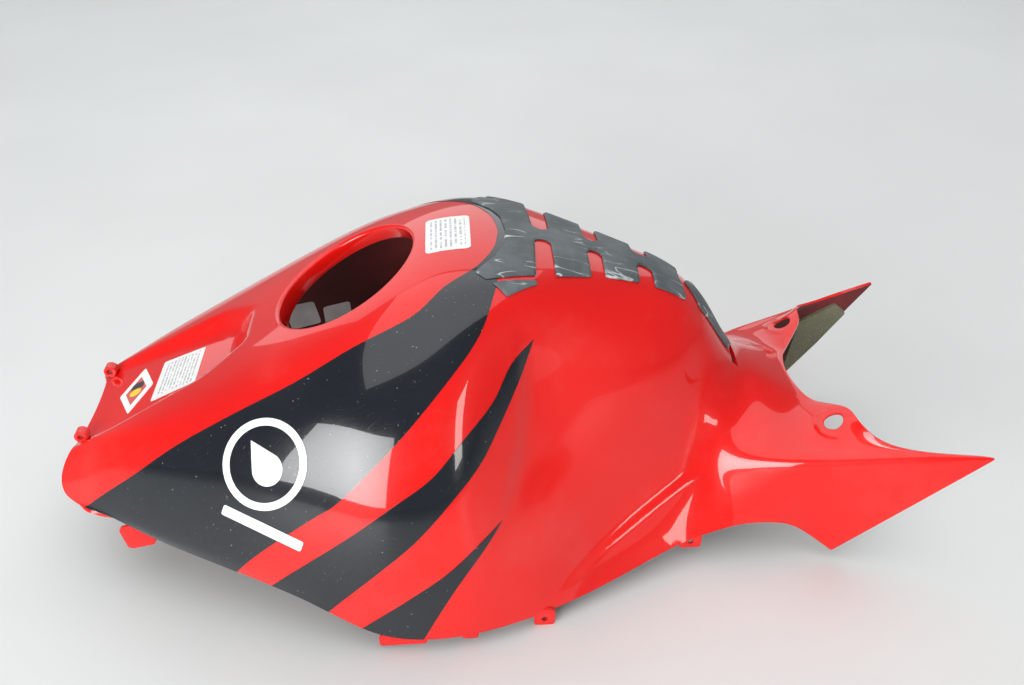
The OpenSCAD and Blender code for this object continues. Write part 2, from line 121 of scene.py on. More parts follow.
# %% The sections, nose to tail
sections = np.array([
    [[238, 0, -130], [239, 25, -130.5], [240.5, 43, -131], [243, 56, -131], [248, 64, -138],
     [252, 70, -146], [254, 75, -154], [254, 78.5, -162], [251.5, 81, -168], [247, 83, -172],
     [239, 88, -174.5], [228, 95, -174]],
    [[215, 0, -118], [215, 28, -118], [216, 52, -118.5], [217, 69, -119], [218, 78, -127],
     [217, 84, -136], [216, 89, -147], [215, 93, -157], [213, 96, -165], [210, 99, -171],
     [207, 101, -175], [203, 104, -178]],
    [[175, 0, -95.5], [175, 35, -95.5], [175, 62, -96], [175, 80, -98], [175, 90, -104],
     [175, 98, -115], [175, 106, -130], [175, 112, -147], [175, 117, -163], [175, 120, -174],
     [174, 121, -181], [172, 120, -187]],
    [[128, 0, -70], [128, 38, -70], [128, 66, -71], [128, 85, -74], [128, 99, -80],
     [128, 111, -92], [128, 122, -111], [128, 132, -134], [128, 139, -156], [128, 142.5, -172],
     [128, 143, -183], [128, 141, -192]],
    [[80, 0, -43.8], [80, 38, -44], [80, 68, -45], [80, 88, -48], [80, 105, -55],
     [80, 121, -68], [80, 137, -91], [80, 150, -120], [80, 160, -148], [80, 164, -170],
     [80, 165, -185], [80, 164, -197]],
    [[30, 0, -16], [30, 38, -16.3], [30, 72, -17.8], [30, 94, -22], [30, 113, -31],
     [30, 132, -48], [30, 151, -74], [30, 167, -107], [30, 179, -139], [30, 185, -166],
     [30, 187.5, -187], [30, 187, -204]],
    [[-20, 0, 11.5], [-20, 38, 11], [-20, 74, 8.5], [-20, 97, 3], [-20, 117, -8],
     [-20, 138, -26], [-20, 160, -55], [-20, 180, -92], [-20, 195, -131], [-20, 202, -166],
     [-20, 205, -198], [-20, 206, -230]],
    [[-65, 0, 33], [-65, 36, 32], [-65, 68, 27.5], [-65, 90, 20.5], [-65, 110, 7],
     [-65, 133, -15], [-65, 157, -47], [-65, 178, -87], [-65, 194, -129], [-65, 203, -166],
     [-65, 206.5, -201], [-65, 207, -236]],
    [[-102, 0, 39], [-102, 36, 38], [-102, 66, 34.5], [-102, 90, 30], [-102, 110, 15],
     [-102, 128, -8], [-102, 147, -40], [-102, 167, -82], [-102, 185, -126], [-102, 197, -166],
     [-102, 202, -201], [-102, 203, -236]],
    [[-148, 0, 37.5], [-148, 32, 36.5], [-148, 60, 34], [-148, 82, 29], [-148, 95, 10],
     [-148, 103, -16], [-148, 113, -49], [-148, 130, -91], [-148, 150, -131], [-148, 169, -171],
     [-148, 182, -206], [-148, 190, -236]],
    [[-200, 0, 24.5], [-200, 26, 23.5], [-200, 48, 19.5], [-200, 64, 10], [-200, 78, -8],
     [-200, 91, -35], [-200, 103, -72], [-200, 116, -113], [-200, 131, -158], [-200, 148, -207],
     [-200, 157, -224], [-200, 166, -235]],
    [[-250, 0, 7.5], [-250, 20, 6], [-250, 37, 1], [-250, 50, -9], [-250, 65, -27],
     [-250, 79, -56], [-250, 91, -94], [-250, 102, -135], [-250, 113, -174], [-250, 125, -205],
     [-250, 132, -220], [-250, 140, -230]],
    [[-293, 0, -11], [-293, 16, -12], [-293, 30, -17], [-293, 42, -28], [-293, 54, -47],
     [-293, 66, -75], [-293, 76, -107], [-293, 85, -139], [-293, 94, -168], [-293, 103, -191],
     [-293, 112, -208], [-293, 119, -223]],
    [[-323, 0, -40], [-321, 15, -41], [-318, 27, -46], [-316, 37, -56], [-314, 47, -74],
     [-314, 57, -98], [-315, 66, -121], [-317, 74, -143], [-319, 83, -160], [-320, 91, -178],
     [-321, 103, -198], [-322, 114, -217]],
    [[-347, 0, -92], [-346, 24, -95], [-346, 33, -103], [-346, 43, -114], [-345, 53, -124],
     [-344, 63, -133], [-344, 74, -140], [-344, 86, -146], [-344, 95, -157], [-344, 100, -172],
     [-345, 106, -192], [-347, 112, -210]],
    [[-372, 0, -104], [-372, 27, -107], [-372, 42, -115], [-372, 56, -122], [-372, 70, -129],
     [-373, 82, -134], [-374, 93, -138], [-375, 103, -141], [-376, 109, -149], [-377, 111, -165],
     [-378, 112, -186], [-380, 113, -209]],
    [[-392, 0, -114.5], [-395, 31, -117], [-398, 46, -124], [-400, 60, -128.5], [-402, 74, -132],
     [-403, 87, -134], [-404, 98, -136], [-405, 109, -135], [-406, 116, -142],
     [-405, 116.5, -156], [-402, 116, -185], [-398, 115, -213]],
    [[-402, 0, -120], [-407, 30, -122], [-412, 44, -126.5], [-419, 58, -124.5],
     [-424, 75, -121.5], [-425, 92, -121], [-432, 106, -130.5], [-445, 117.5, -128.5],
     [-450, 126.5, -133], [-447, 125.5, -147], [-436, 123, -190], [-418, 119, -228]],
    [[-405, 0, -121.3], [-411, 31, -123.3], [-418, 45, -126.5], [-430, 62, -118],
     [-435, 76, -115], [-436, 93, -114.5], [-449, 114, -127.5], [-490, 130, -118.5],
     [-494, 138, -123.5], [-488, 135.5, -138.5], [-466, 130, -170], [-431, 122, -238]],
    [[-407, 0, -122], [-414, 33, -124], [-423, 46, -126], [-440, 68, -112.5], [-444, 82, -110.5],
     [-444, 100, -110.5], [-463, 122, -124.5], [-541, 146, -113.5], [-544, 148.5, -115],
     [-541, 148, -118], [-500, 139, -163], [-433, 122, -239]],
], float)
LAST_SECTION = sections.shape[0] - 1
LAST_RAIL = sections.shape[1] - 1
print(LAST_SECTION + 1, "sections of", LAST_RAIL + 1, "points")

# %% [markdown]
# The spline needs one more point past every end. Across the centre line that point is the mirror
# image of its neighbour, which keeps the roof level there. Elsewhere it carries the last step on.

# %% The net with its extra rows
net = np.zeros((LAST_SECTION + 3, LAST_RAIL + 3, 3))
net[1:-1, 1:-1] = sections
net[1:-1, 0] = sections[:, 1] * (1, -1, 1)
net[1:-1, -1] = 2 * sections[:, -1] - sections[:, -2]
net[0] = 2 * net[1] - net[2]
net[-1] = 2 * net[-2] - net[-3]


def blend_weights(t):
    """The four weights of a uniform cubic B-spline."""
    return [(1 - t)**3 / 6, (3*t**3 - 6*t**2 + 4) / 6, (-3*t**3 + 3*t**2 + 3*t + 1) / 6, t**3 / 6]


def soft_step(low, high, x):
    """0 below low, 1 above high, and smooth between."""
    t = np.clip((x - low) / (high - low), 0, 1)
    return t * t * (3 - 2 * t)


def moulding(u, v):
    """Points of the plain moulding at section numbers u and rail numbers v; v < 0 is the right side."""
    u, v = np.broadcast_arrays(np.asarray(u, float), np.asarray(v, float))
    side = np.abs(v)
    i = np.clip(np.floor(u).astype(int), 0, LAST_SECTION - 1)
    j = np.clip(np.floor(side).astype(int), 0, LAST_RAIL - 1)
    along, across = blend_weights(u - i), blend_weights(side - j)
    points = sum((along[a] * across[b])[..., None] * net[i + a, j + b]
                 for a in range(4) for b in range(4))
    points[..., 1] *= np.where(v < 0, -1, 1)
    return points


print("length of the centre line's ends, mm:", moulding([0, LAST_SECTION], [0, 0])[:, 0].round(1))

# %% [markdown]
# ## The dish and the knee crease
# Ahead of the filler the roof is sunk, with a steep end wall and two side walls, and the labels
# lie on its floor. It is a smooth drop in z that fades out at the walls. The knee panel is set in
# above a long crease and behind an upright roll in the same manner. Sections alone would need many
# more points for either.

# %% Dish, knee panel and skin
dish_front, dish_fall = 6, 0.11
dish_x_front, dish_x_rear = 216, (84, 104)
dish_half_width, dish_draw, dish_wall = 61, 0.09, 13
dish_nose, dish_nose_draw = (88, 128), 18
knee_crease_at, knee_crease_up = np.array([-313, -168]), np.array([0.398, 0.917])
knee_inset, knee_step_width, knee_fade_up = 4.5, 8, (20, 115)
knee_fade_rear, knee_fade_front = (-322, -290), (-240, -150)
brow_x, brow_bow, brow_mid_z, brow_half = -143, 15, -45, 80
brow_inset, brow_step_width, brow_fade_back = 3.5, 12, (25, 120)
brow_fade_top, brow_fade_low = (-50, 18), (-165, -105)


def dish_depth(points):
    """How far the roof is sunk at these points, in mm."""
    back = dish_x_front - points[..., 0]
    edge = dish_half_width - back * dish_draw
    edge = edge - dish_nose_draw * (1 - soft_step(*dish_nose, points[..., 0]))
    inside = 1 - soft_step(edge - dish_wall, edge, np.abs(points[..., 1]))
    return (dish_front + back * dish_fall) * soft_step(*dish_x_rear, points[..., 0]) * inside


def knee_depth(points):
    """How far the knee panel is set in, above its crease and behind its front roll, in mm."""
    x, z = points[..., 0], points[..., 2]
    up = (points[..., [0, 2]] - knee_crease_at) @ knee_crease_up
    panel = soft_step(0, knee_step_width, up) * (1 - soft_step(*knee_fade_up, up))
    length = soft_step(*knee_fade_rear, x) * (1 - soft_step(*knee_fade_front, x))
    back = brow_x + brow_bow * ((z - brow_mid_z) / brow_half)**2 - x
    brow = soft_step(0, brow_step_width, back) * (1 - soft_step(*brow_fade_back, back))
    height = soft_step(*brow_fade_low, z) * (1 - soft_step(*brow_fade_top, z))
    return knee_inset * panel * length + brow_inset * brow * height


def skin(u, v):
    """Points of the finished outer skin."""
    points = moulding(u, v)
    points[..., 1] -= np.sign(points[..., 1]) * knee_depth(points)
    points[..., 2] -= dish_depth(points)
    return points


print("deepest part of the dish, mm:", round(float(dish_depth(np.array([112.0, 0, 0]))), 1))

# %% [markdown]
# Thickness needs a direction. On most of the cover that is the surface's own normal. The tails
# fold back on themselves, so there the direction turns sideways, as the CAD does it.

# %% Normals and the direction of thickness
step = 1e-3
tail_sections, tail_rails = (15.5, 17.5), (5, 6.5)
tail_way = np.array([0.25, 0.85, 0.45])


def unit(vectors):
    return vectors / np.linalg.norm(vectors, axis=-1, keepdims=True)


def ways(u, v):
    """Unit direction in which the skin gets thicker."""
    u, v = np.broadcast_arrays(np.asarray(u, float), np.asarray(v, float))
    along = skin(u + step, v) - skin(u - step, v)
    across = skin(u, v + step) - skin(u, v - step)
    normal = unit(np.cross(across, along))
    share = soft_step(*tail_sections, u) * soft_step(*tail_rails, np.abs(v))
    out = unit(tail_way) * np.stack([np.ones_like(v), np.where(v < 0, -1.0, 1.0), np.ones_like(v)], -1)
    return unit(normal * (1 - share[..., None]) + out * share[..., None])


def lifted(uv, height):
    """Points at a height in mm over the skin; uv is a list of (section, rail) pairs."""
    u, v = uv[:, 0], uv[:, 1]
    return skin(u, v) + ways(u, v) * np.broadcast_to(height, u.shape)[:, None]


print("up direction on the roof:", ways([6.0], [0.0]).round(2))

# %% [markdown]
# ## From a flat drawing to the skin
# The edges of the graphics are drawn flat: seen from above, or on a plane that leans with the
# flank. Newton's method finds, for each drawn point, the place on the skin that lies under it. The
# search starts from the nearest point of a coarse net.

# %% Drawing planes and the search
def flank_plan(side):
    """x forward, and down the flank on a plane that leans out 45 degrees."""
    lean = math.sqrt(0.5)
    return np.array([[1, 0, 0], [0, side * lean, -lean]])


def on_side(side, first, last):
    """A range of rail numbers on the left side, or its mirror image on the right."""
    return (first, last) if side > 0 else (-last, -first)


SIDES = (("left", 1), ("right", -1))
roof_plan = np.array([[1.0, 0, 0], [0, 1, 0]])
rear_plan = np.array([[0, 1.0, 0], [0, 0, 1]])
wall_plan = np.array([[1.0, 0, 0], [0, 0, 1]])


def locate(plan, targets, sections_range, rails_range):
    """(section, rail) pairs where the skin shows each target of a flat drawing."""
    targets = np.asarray(targets, float)
    coarse, longest_move = 0.25, 0.3
    u, v = np.meshgrid(np.arange(*sections_range, coarse), np.arange(*rails_range, coarse),
                       indexing="ij")
    seen = (skin(u, v) @ plan.T).reshape(-1, 1, 2)
    nearest = ((seen - targets)**2).sum(-1).argmin(0)
    u, v = u.ravel()[nearest], v.ravel()[nearest]
    for _ in range(15):
        here = skin(u, v)
        by_u = (skin(u + step, v) - here) @ plan.T / step
        by_v = (skin(u, v + step) - here) @ plan.T / step
        miss = targets - here @ plan.T
        area = by_u[:, 0] * by_v[:, 1] - by_u[:, 1] * by_v[:, 0]
        move_u = (miss[:, 0] * by_v[:, 1] - miss[:, 1] * by_v[:, 0]) / area
        move_v = (by_u[:, 0] * miss[:, 1] - by_u[:, 1] * miss[:, 0]) / area
        u = u + np.clip(move_u, -longest_move, longest_move)
        v = v + np.clip(move_v, -longest_move, longest_move)
        u = np.clip(u, -0.5, LAST_SECTION + 0.5)
        v = np.clip(v, -LAST_RAIL - 1.5, LAST_RAIL + 1.5)
    return np.stack([u, v], -1)


def curve_through(points, steps=5):
    """A smooth curve through a few drawn points."""
    p = np.array(points, float)
    p = np.concatenate([p[:1], p, p[-1:]])
    rows = []
    for a, b, c, d in zip(p, p[1:], p[2:], p[3:]):
        for t in np.arange(steps) / steps:
            rows.append((2*b + (c - a)*t + (2*a - 5*b + 4*c - d)*t*t + (3*b - a - 3*c + d)*t**3) / 2)
    return np.array([*rows, p[-1]])


def dense(outline, spacing):
    """The closed outline with extra points, so that no side is longer than the spacing."""
    rows = []
    for a, b in zip(outline, np.roll(outline, -1, axis=0)):
        count = max(1, math.ceil(np.linalg.norm(b - a) / spacing))
        rows.extend(a + (b - a) * k / count for k in range(count))
    return np.array(rows)


def circle(centre, radius, count):
    turn = np.arange(count) * math.tau / count
    return np.array(centre) + radius * np.stack([np.cos(turn), np.sin(turn)], -1)


test_place = locate(roof_plan, [[-92, 10]], (5, 10), (-3, 3))
print("the drawn point (-92, 10) lies at section, rail", test_place.round(3))

# %% [markdown]
# ## Filling an outline with small triangles
# A constrained Delaunay triangulation keeps the drawn edge exactly and fills the inside with an even
# net, which a boolean would not do. It works on the flat numbers; the skin gives the heights later.

# %% Filling
def inside(points, outlines):
    """Whether each point lies inside the outlines, by the even-odd rule."""
    hits = np.zeros(len(points), int)
    x, y = points[:, :1], points[:, 1:]
    for outline in outlines:
        a, b = outline, np.roll(outline, -1, axis=0)
        rise = np.where(b[:, 1] == a[:, 1], 1e-12, b[:, 1] - a[:, 1])
        crosses = (a[:, 1] > y) != (b[:, 1] > y)
        hits += (crosses & (x < a[:, 0] + (y - a[:, 1]) * (b[:, 0] - a[:, 0]) / rise)).sum(1)
    return hits % 2 == 1


def distance_to(points, outlines):
    """Distance of each point to the nearest outline."""
    best = np.full(len(points), 1e9)
    for outline in outlines:
        a, b = outline, np.roll(outline, -1, axis=0)
        run = b - a
        length = np.maximum((run**2).sum(-1), 1e-12)
        t = np.clip(((points[:, None] - a) * run).sum(-1) / length, 0, 1)
        gap = np.linalg.norm(points[:, None] - (a + t[..., None] * run), axis=-1)
        best = np.minimum(best, gap.min(1))
    return best


def triangulate(points, edges, merge_within):
    """Flat points, triangles that keep the edges, and the numbers that each point came from."""
    found = delaunay_2d_cdt([Vector(p) for p in points], edges, [], 0, merge_within)
    return (np.array([tuple(p) for p in found[0]]), np.array([f for f in found[2] if len(f) == 3]),
            found[3])


def fill(outlines, spacing):
    """Points and triangles of the region inside flat outlines."""
    edge_gap = 0.45 * spacing
    low, high = outlines[0].min(0), outlines[0].max(0)
    xs = np.arange(low[0] + spacing / 2, high[0], spacing)
    ys = np.arange(low[1] + spacing / 2, high[1], spacing)
    lattice = np.stack(np.meshgrid(xs, ys, indexing="ij"), -1).reshape(-1, 2)
    if len(lattice):
        lattice = lattice[inside(lattice, outlines)]
    if len(lattice):
        lattice = lattice[distance_to(lattice, outlines) > edge_gap]
    edges, start = [], 0
    for outline in outlines:
        count = len(outline)
        edges += [(start + k, start + (k + 1) % count) for k in range(count)]
        start += count
    points = np.concatenate([*outlines, lattice.reshape(-1, 2)])
    flat, triangles, _ = triangulate(points, edges, 1e-6)
    return flat, triangles[inside(flat[triangles].mean(1), outlines)]


test_square = dense(np.array([[0, 0], [10, 0], [10, 10], [0, 10]], float), 2)
print("triangles in a 10 mm square:", len(fill([test_square], 2)[1]))

# %% [markdown]
# ## A closed piece from a filled outline
# Top and bottom are the same triangles at two heights, joined by a wall along the free edges. Such a
# piece is watertight, so it prints and exports without repair.

# %% Building meshes
def add_piece(name, points_mm, faces, material, crease=35):
    """A Blender object from points in mm and faces, smooth up to a crease angle."""
    mesh = bpy.data.meshes.new(name)
    mesh.from_pydata(to_metres(points_mm).tolist(), [], [tuple(int(i) for i in f) for f in faces])
    mesh.validate()
    mesh.materials.append(material)
    mesh.shade_smooth()
    mesh.set_sharp_from_angle(angle=math.radians(crease))
    piece = bpy.data.objects.new(name, mesh)
    bpy.context.scene.collection.objects.link(piece)
    return piece


def free_edges(triangles):
    """Directed edges that only one triangle uses."""
    edges = {(a, b) for t in triangles.tolist() for a, b in zip(t, t[1:] + t[:1])}
    return [(a, b) for a, b in edges if (b, a) not in edges]


def closed_faces(triangles, count):
    """Faces of a closed slab: triangles on top, their twins below, and a wall between."""
    # the drawing's left turn is a right turn when seen from outside, so the top is turned over
    walls = [(b, a, a + count, b + count) for a, b in free_edges(triangles)]
    return [*triangles[:, ::-1].tolist(), *(triangles + count).tolist(), *walls]


def place_mark(piece, drawing_mm):
    """Stores drawn coordinates in mm on a slab's top and bottom, to lay out a print in them."""
    marks = piece.data.attributes.new("drawn", "FLOAT_VECTOR", "POINT")
    flat = np.zeros((len(piece.data.vertices), 3))
    flat[:, :2] = np.tile(drawing_mm, (2, 1))
    marks.data.foreach_set("vector", flat.ravel())


def hand_over(piece, node):
    """The piece rides on the only body and takes the place of a node of the CAD model."""
    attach(piece, "root")
    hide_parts(node)


print("edges round one triangle:", len(free_edges(np.array([[0, 1, 2]]))))

# %% [markdown]
# A sticker is such a slab on the skin. Its outline may run past the hem, so it is first trimmed
# there. Near its edge its height can fall away, which gives the rubber pad its rounded rim.

# %% Stickers
def trim(outline, axis, limit, sign):
    """The part of a flat outline on one side of a line parallel to an axis."""
    rows = []
    for a, b in zip(outline, np.roll(outline, -1, axis=0)):
        depth_a, depth_b = sign * (a[axis] - limit), sign * (b[axis] - limit)
        if depth_a >= 0:
            rows.append(a)
        if depth_a * depth_b < 0:
            rows.append(a + (b - a) * depth_a / (depth_a - depth_b))
    return np.array(rows)


def mm_per_number(middle):
    """How many mm one section number and one rail number span round a place on the skin."""
    (u, v), reach = middle, 0.05
    return np.array([np.linalg.norm(skin(u + reach, v) - skin(u - reach, v)),
                     np.linalg.norm(skin(u, v + reach) - skin(u, v - reach))]) / (2 * reach)


HEM_INSET = 0.035
RIM_DROP = 0.6


def sticker(name, plan, outlines, sections_range, rails_range, low, thick, material, spacing,
            rim=0.0, crease=35):
    """A closed layer on the skin in the shape of one or more drawn outlines."""
    placed = []
    for outline in outlines:
        uv = locate(plan, dense(np.asarray(outline, float), spacing), sections_range, rails_range)
        for axis, limit, sign in ((1, LAST_RAIL - HEM_INSET, -1), (1, HEM_INSET - LAST_RAIL, 1),
                                  (0, HEM_INSET, 1), (0, LAST_SECTION - HEM_INSET, -1)):
            if (sign * (uv[:, axis] - limit) < 0).any():
                uv = trim(uv, axis, limit, sign)
        placed.append(uv)
    scale = mm_per_number(placed[0].mean(0))
    rings = [dense(uv * scale, spacing) for uv in placed]
    flat, triangles = fill(rings, spacing)
    uv = flat / scale
    top = np.full(len(uv), low + thick)
    if rim:
        near_edge = np.clip(distance_to(flat, rings) / rim, 0, 1)
        top -= thick * RIM_DROP * (1 - np.sqrt(1 - (1 - near_edge)**2))
    points = np.concatenate([lifted(uv, top), lifted(uv, low)])
    piece = add_piece(name, points, closed_faces(triangles, len(uv)), material, crease)
    place_mark(piece, points[:len(uv)] @ plan.T)
    return piece


print("hem inset in rail numbers:", HEM_INSET)

# %% [markdown]
# # Finishes
# Shader graphs get long when every Math node is added by hand. Here a small class wraps a socket, so
# that ordinary sums on it add the nodes.

# %% A socket that can be calculated with
class Wire:
    def __init__(self, shader, socket):
        self.shader, self.socket = shader, socket

    def math(self, operation, first, second=0.0):
        return self.shader.node("Math", {"operation": operation}, {0: first, 1: second})

    def __add__(self, other):
        return self.math("ADD", self, other)

    def __sub__(self, other):
        return self.math("SUBTRACT", self, other)

    def __rsub__(self, other):
        return self.math("SUBTRACT", other, self)

    def __mul__(self, other):
        return self.math("MULTIPLY", self, other)

    def __gt__(self, other):
        return self.math("GREATER_THAN", self, other)

    def __lt__(self, other):
        return self.math("LESS_THAN", self, other)

    def __abs__(self):
        return self.math("ABSOLUTE", self)

    def power(self, exponent):
        return self.math("POWER", self, exponent)

    def fraction(self):
        return self.math("FRACT", self)

    def whole(self):
        return self.math("FLOOR", self)

    def ramp(self, low, high):
        """0 at low, 1 at high."""
        return self.shader.node("MapRange", {"clamp": True}, {"Value": self, 1: low, 2: high})

    __radd__, __rmul__ = __add__, __mul__


print("a wire can be added, multiplied and compared")

# %% [markdown]
# The second class is one material under construction. Values that are the same all over go straight
# onto its sockets. What changes over the surface comes in as wires at the end. Every node that is
# not a sum comes from one method.

# %% A material under construction
def socket_name(key):
    """coat_roughness as Blender writes it: Coat Roughness."""
    return key.replace("_", " ").title().replace("Ior", "IOR")


class Shader:
    """One material under construction."""

    def __init__(self, name, **constants):
        self.material = bpy.data.materials.new(name)
        self.material.use_nodes = True
        self.tree = self.material.node_tree
        self.surface = self.tree.nodes["Principled BSDF"]
        for key, value in constants.items():
            self.surface.inputs[socket_name(key)].default_value = value

    def connect(self, socket, value):
        if isinstance(value, Wire):
            self.tree.links.new(value.socket, socket)
        elif isinstance(value, tuple) and len(value) == 3 and len(socket.default_value) == 4:
            socket.default_value = (*value, 1)
        else:
            socket.default_value = value

    def node(self, kind, settings=None, values=None, output=0):
        made = self.tree.nodes.new("ShaderNode" + kind)
        for key, value in (settings or {}).items():
            if key == "stops":
                while len(made.color_ramp.elements) < len(value):
                    made.color_ramp.elements.new(1)
                for element, (place, colour) in zip(made.color_ramp.elements, value):
                    element.position, element.color = place, (*colour, 1)
            else:
                setattr(made, key, value)
        for key, value in (values or {}).items():
            self.connect(made.inputs[key], value)
        return Wire(self, made.outputs[output])

    def place(self):
        """Coordinates in the model's frame, in metres."""
        return self.node("TexCoord", output="Object")

    def drawn(self):
        """The two drawn coordinates in mm that are stored on a sticker."""
        x = self.node("SeparateXYZ", {}, {0: self.node("Attribute", {"attribute_name": "drawn"},
                                                       output="Vector")})
        return x, Wire(self, x.socket.node.outputs[1])

    def noise(self, scale, detail=2.0, roughness=0.5, vector=None):
        return self.node("TexNoise", {}, {"Vector": vector or self.place(), "Scale": scale,
                                          "Detail": detail, "Roughness": roughness})

    def mix(self, share, first, second):
        """Colour between first and second. Sockets 6 and 7 are the colour pair of the Mix node."""
        return self.node("Mix", {"data_type": "RGBA"}, {0: share, 6: first, 7: second}, output=2)

    def bump(self, height, strength, distance=0.001):
        return self.node("Bump", {}, {"Height": height, "Strength": strength, "Distance": distance})

    def finish(self, **wires):
        for key, wire in wires.items():
            self.connect(self.surface.inputs[socket_name(key)], wire)
        return self.material


print("shader tools ready")

# %% [markdown]
# ## Red paint
# The paint is a solid red under clear lacquer. A used part shows three things: a faint ripple,
# hairline scratches from wiping, and a slightly duller, dustier hue in patches. The lacquer is the
# coat of the Principled shader, and the ripple is a very weak bump.

# %% Red paint
def scratches(shader, scale, fineness):
    """Thin lines, white on black: noise stretched along one way and cut near its middle value."""
    stretched = shader.node("Mapping", {}, {"Vector": shader.place(), "Rotation": (0.4, 0.9, 0.3),
                                            "Scale": (1, 14, 1)})
    wave = shader.noise(scale, 1.0, 0.4, stretched)
    return 1 - abs(wave - 0.5).ramp(0.0, fineness)


def red_paint():
    shader = Shader("red_paint", coat_weight=1.0, coat_roughness=0.03, coat_ior=1.45,
                    specular_ior_level=0.15)
    deep, bright, dusty = (0.62, 0.004, 0.003), (0.74, 0.007, 0.004), (0.7, 0.45, 0.40)
    colour = shader.mix(shader.noise(5, 3).ramp(0.3, 0.7), deep, bright)
    dust = shader.noise(9, 5, 0.7).ramp(0.52, 0.8) * 0.05
    colour = shader.mix(dust, colour, dusty)
    lines = scratches(shader, 14, 0.006)
    rough = 0.26 + shader.noise(18, 3) * 0.10 + lines * 0.25
    return shader.finish(base_color=colour, roughness=rough,
                         normal=shader.bump(shader.noise(240, 2) + lines * 0.3, 0.035))


red = red_paint()
print("material", red.name)

# %% [markdown]
# ## The bare inside
# The inside was never polished: dark plastic under a thin, matt red overspray that thins out in
# patches. Only the edge of the opening and the tails let it be seen.

# %% Bare inside
def bare_inside():
    shader = Shader("inside_overspray")
    thin_spray, thick_spray = (0.10, 0.010, 0.012), (0.20, 0.016, 0.017)
    colour = shader.mix(shader.noise(13, 4, 0.6).ramp(0.35, 0.7), thin_spray, thick_spray)
    grain = shader.noise(900, 2)
    return shader.finish(base_color=colour, roughness=0.62 + grain * 0.2,
                         normal=shader.bump(grain, 0.12))


inside_finish = bare_inside()
print("material", inside_finish.name)

# %% [markdown]
# ## Vinyl
# Cast vinyl is glossier than paint at first and soon gets small dents and fine scratches. Black
# shows them all, so its roughness is broken up more than its colour. The white film is the same
# material in another colour.

# %% Black and white vinyl
def vinyl(name, colour, worn_colour, gloss):
    shader = Shader(name, coat_weight=0.9, coat_roughness=0.02, specular_ior_level=0.2)
    lines = scratches(shader, 22, 0.005)
    specks, speck_grey = shader.noise(420, 1).ramp(0.74, 0.80), (0.35, 0.36, 0.38)
    tone = shader.mix(shader.noise(11, 3).ramp(0.35, 0.75) * 0.5, colour, worn_colour)
    tone = shader.mix(specks * 0.5, tone, speck_grey)
    rough = gloss + shader.noise(30, 3) * 0.08 + lines * 0.2
    return shader.finish(base_color=tone, roughness=rough,
                         normal=shader.bump(shader.noise(160, 2), 0.03))


black_vinyl = vinyl("black_vinyl", (0.006, 0.008, 0.012), (0.015, 0.019, 0.024), 0.12)
white_vinyl = vinyl("white_vinyl", (0.86, 0.87, 0.89), (0.74, 0.75, 0.78), 0.2)
print("materials", black_vinyl.name, white_vinyl.name)

# %% [markdown]
# ## Pad rubber
# The pad is a matt, fine-grained rubber that jackets have rubbed grey. Its printed decoration is
# worn to faint pale strokes. They are made here as plain bands of stretched noise with no motif.

# %% Pad rubber
def pad_rubber():
    shader = Shader("pad_rubber", specular_ior_level=0.4)
    grain = shader.noise(1500, 3, 0.6)
    new_rubber, rubbed, print_white = (0.075, 0.088, 0.095), (0.155, 0.178, 0.186), (0.62, 0.67, 0.69)
    wear = shader.noise(26, 5, 0.65).ramp(0.42, 0.72)
    tone = shader.mix(wear, new_rubber, rubbed)
    long_way = shader.node("Mapping", {}, {"Vector": shader.place(), "Scale": (1, 5, 1),
                                           "Rotation": (0, 0, 0.5)})
    strokes = 1 - abs(shader.noise(17, 2, 0.5, long_way) - 0.5).ramp(0.0, 0.018)
    strokes = strokes * shader.noise(30, 3).ramp(0.46, 0.56)
    tone = shader.mix(strokes * 0.8, tone, print_white)
    return shader.finish(base_color=tone, roughness=0.5 + wear * 0.15 + grain * 0.12,
                         normal=shader.bump(grain, 0.22, 0.0006))


rubber = pad_rubber()
print("material", rubber.name)

# %% [markdown]
# ## Labels
# A label is satin white film with rows of small grey print. The print here is only dashes: rows are
# cut from one drawn coordinate and broken up by noise along the other, so that it reads as text at
# arm's length and says nothing.

# %% Label film
def label_film(name, row_mm, x_low, x_high, half_width):
    """White film with broken grey rows of print inside a drawn box."""
    shader = Shader(name, coat_weight=0.3, coat_roughness=0.15)
    x, y = shader.drawn()
    row = x * (1 / row_mm)
    half_stroke, letters_per_mm, row_shift, letter_gap = 0.22, 0.55, 7.3, 0.46
    in_row = abs(row.fraction() - 0.5) < half_stroke
    cell = shader.node("CombineXYZ", {}, {0: y * letters_per_mm, 1: row.whole() * row_shift})
    letters = shader.noise(1.0, 1.0, 0.5, cell) > letter_gap
    box = (x > x_low) * (x < x_high) * (abs(y) < half_width)
    white, yellowed, ink_grey = (0.80, 0.81, 0.80), (0.72, 0.71, 0.68), (0.30, 0.32, 0.35)
    paper = shader.mix(shader.noise(40, 3).ramp(0.4, 0.8) * 0.35, white, yellowed)
    colour = shader.mix(in_row * letters * box * 0.8, paper, ink_grey)
    return shader.finish(base_color=colour, roughness=0.34 + shader.noise(60, 2) * 0.12,
                         normal=shader.bump(shader.noise(300, 2), 0.02))


def plain_label():
    shader = Shader("inner_label_film")
    tone = shader.mix(shader.noise(60, 4).ramp(0.4, 0.7), (0.93, 0.92, 0.90), (0.80, 0.79, 0.77))
    return shader.finish(base_color=tone, roughness=0.5 + shader.noise(90, 2) * 0.15)


SIGN_X, SIGN_HALF_X, SIGN_HALF_Y = 199.0, 16.5, 36


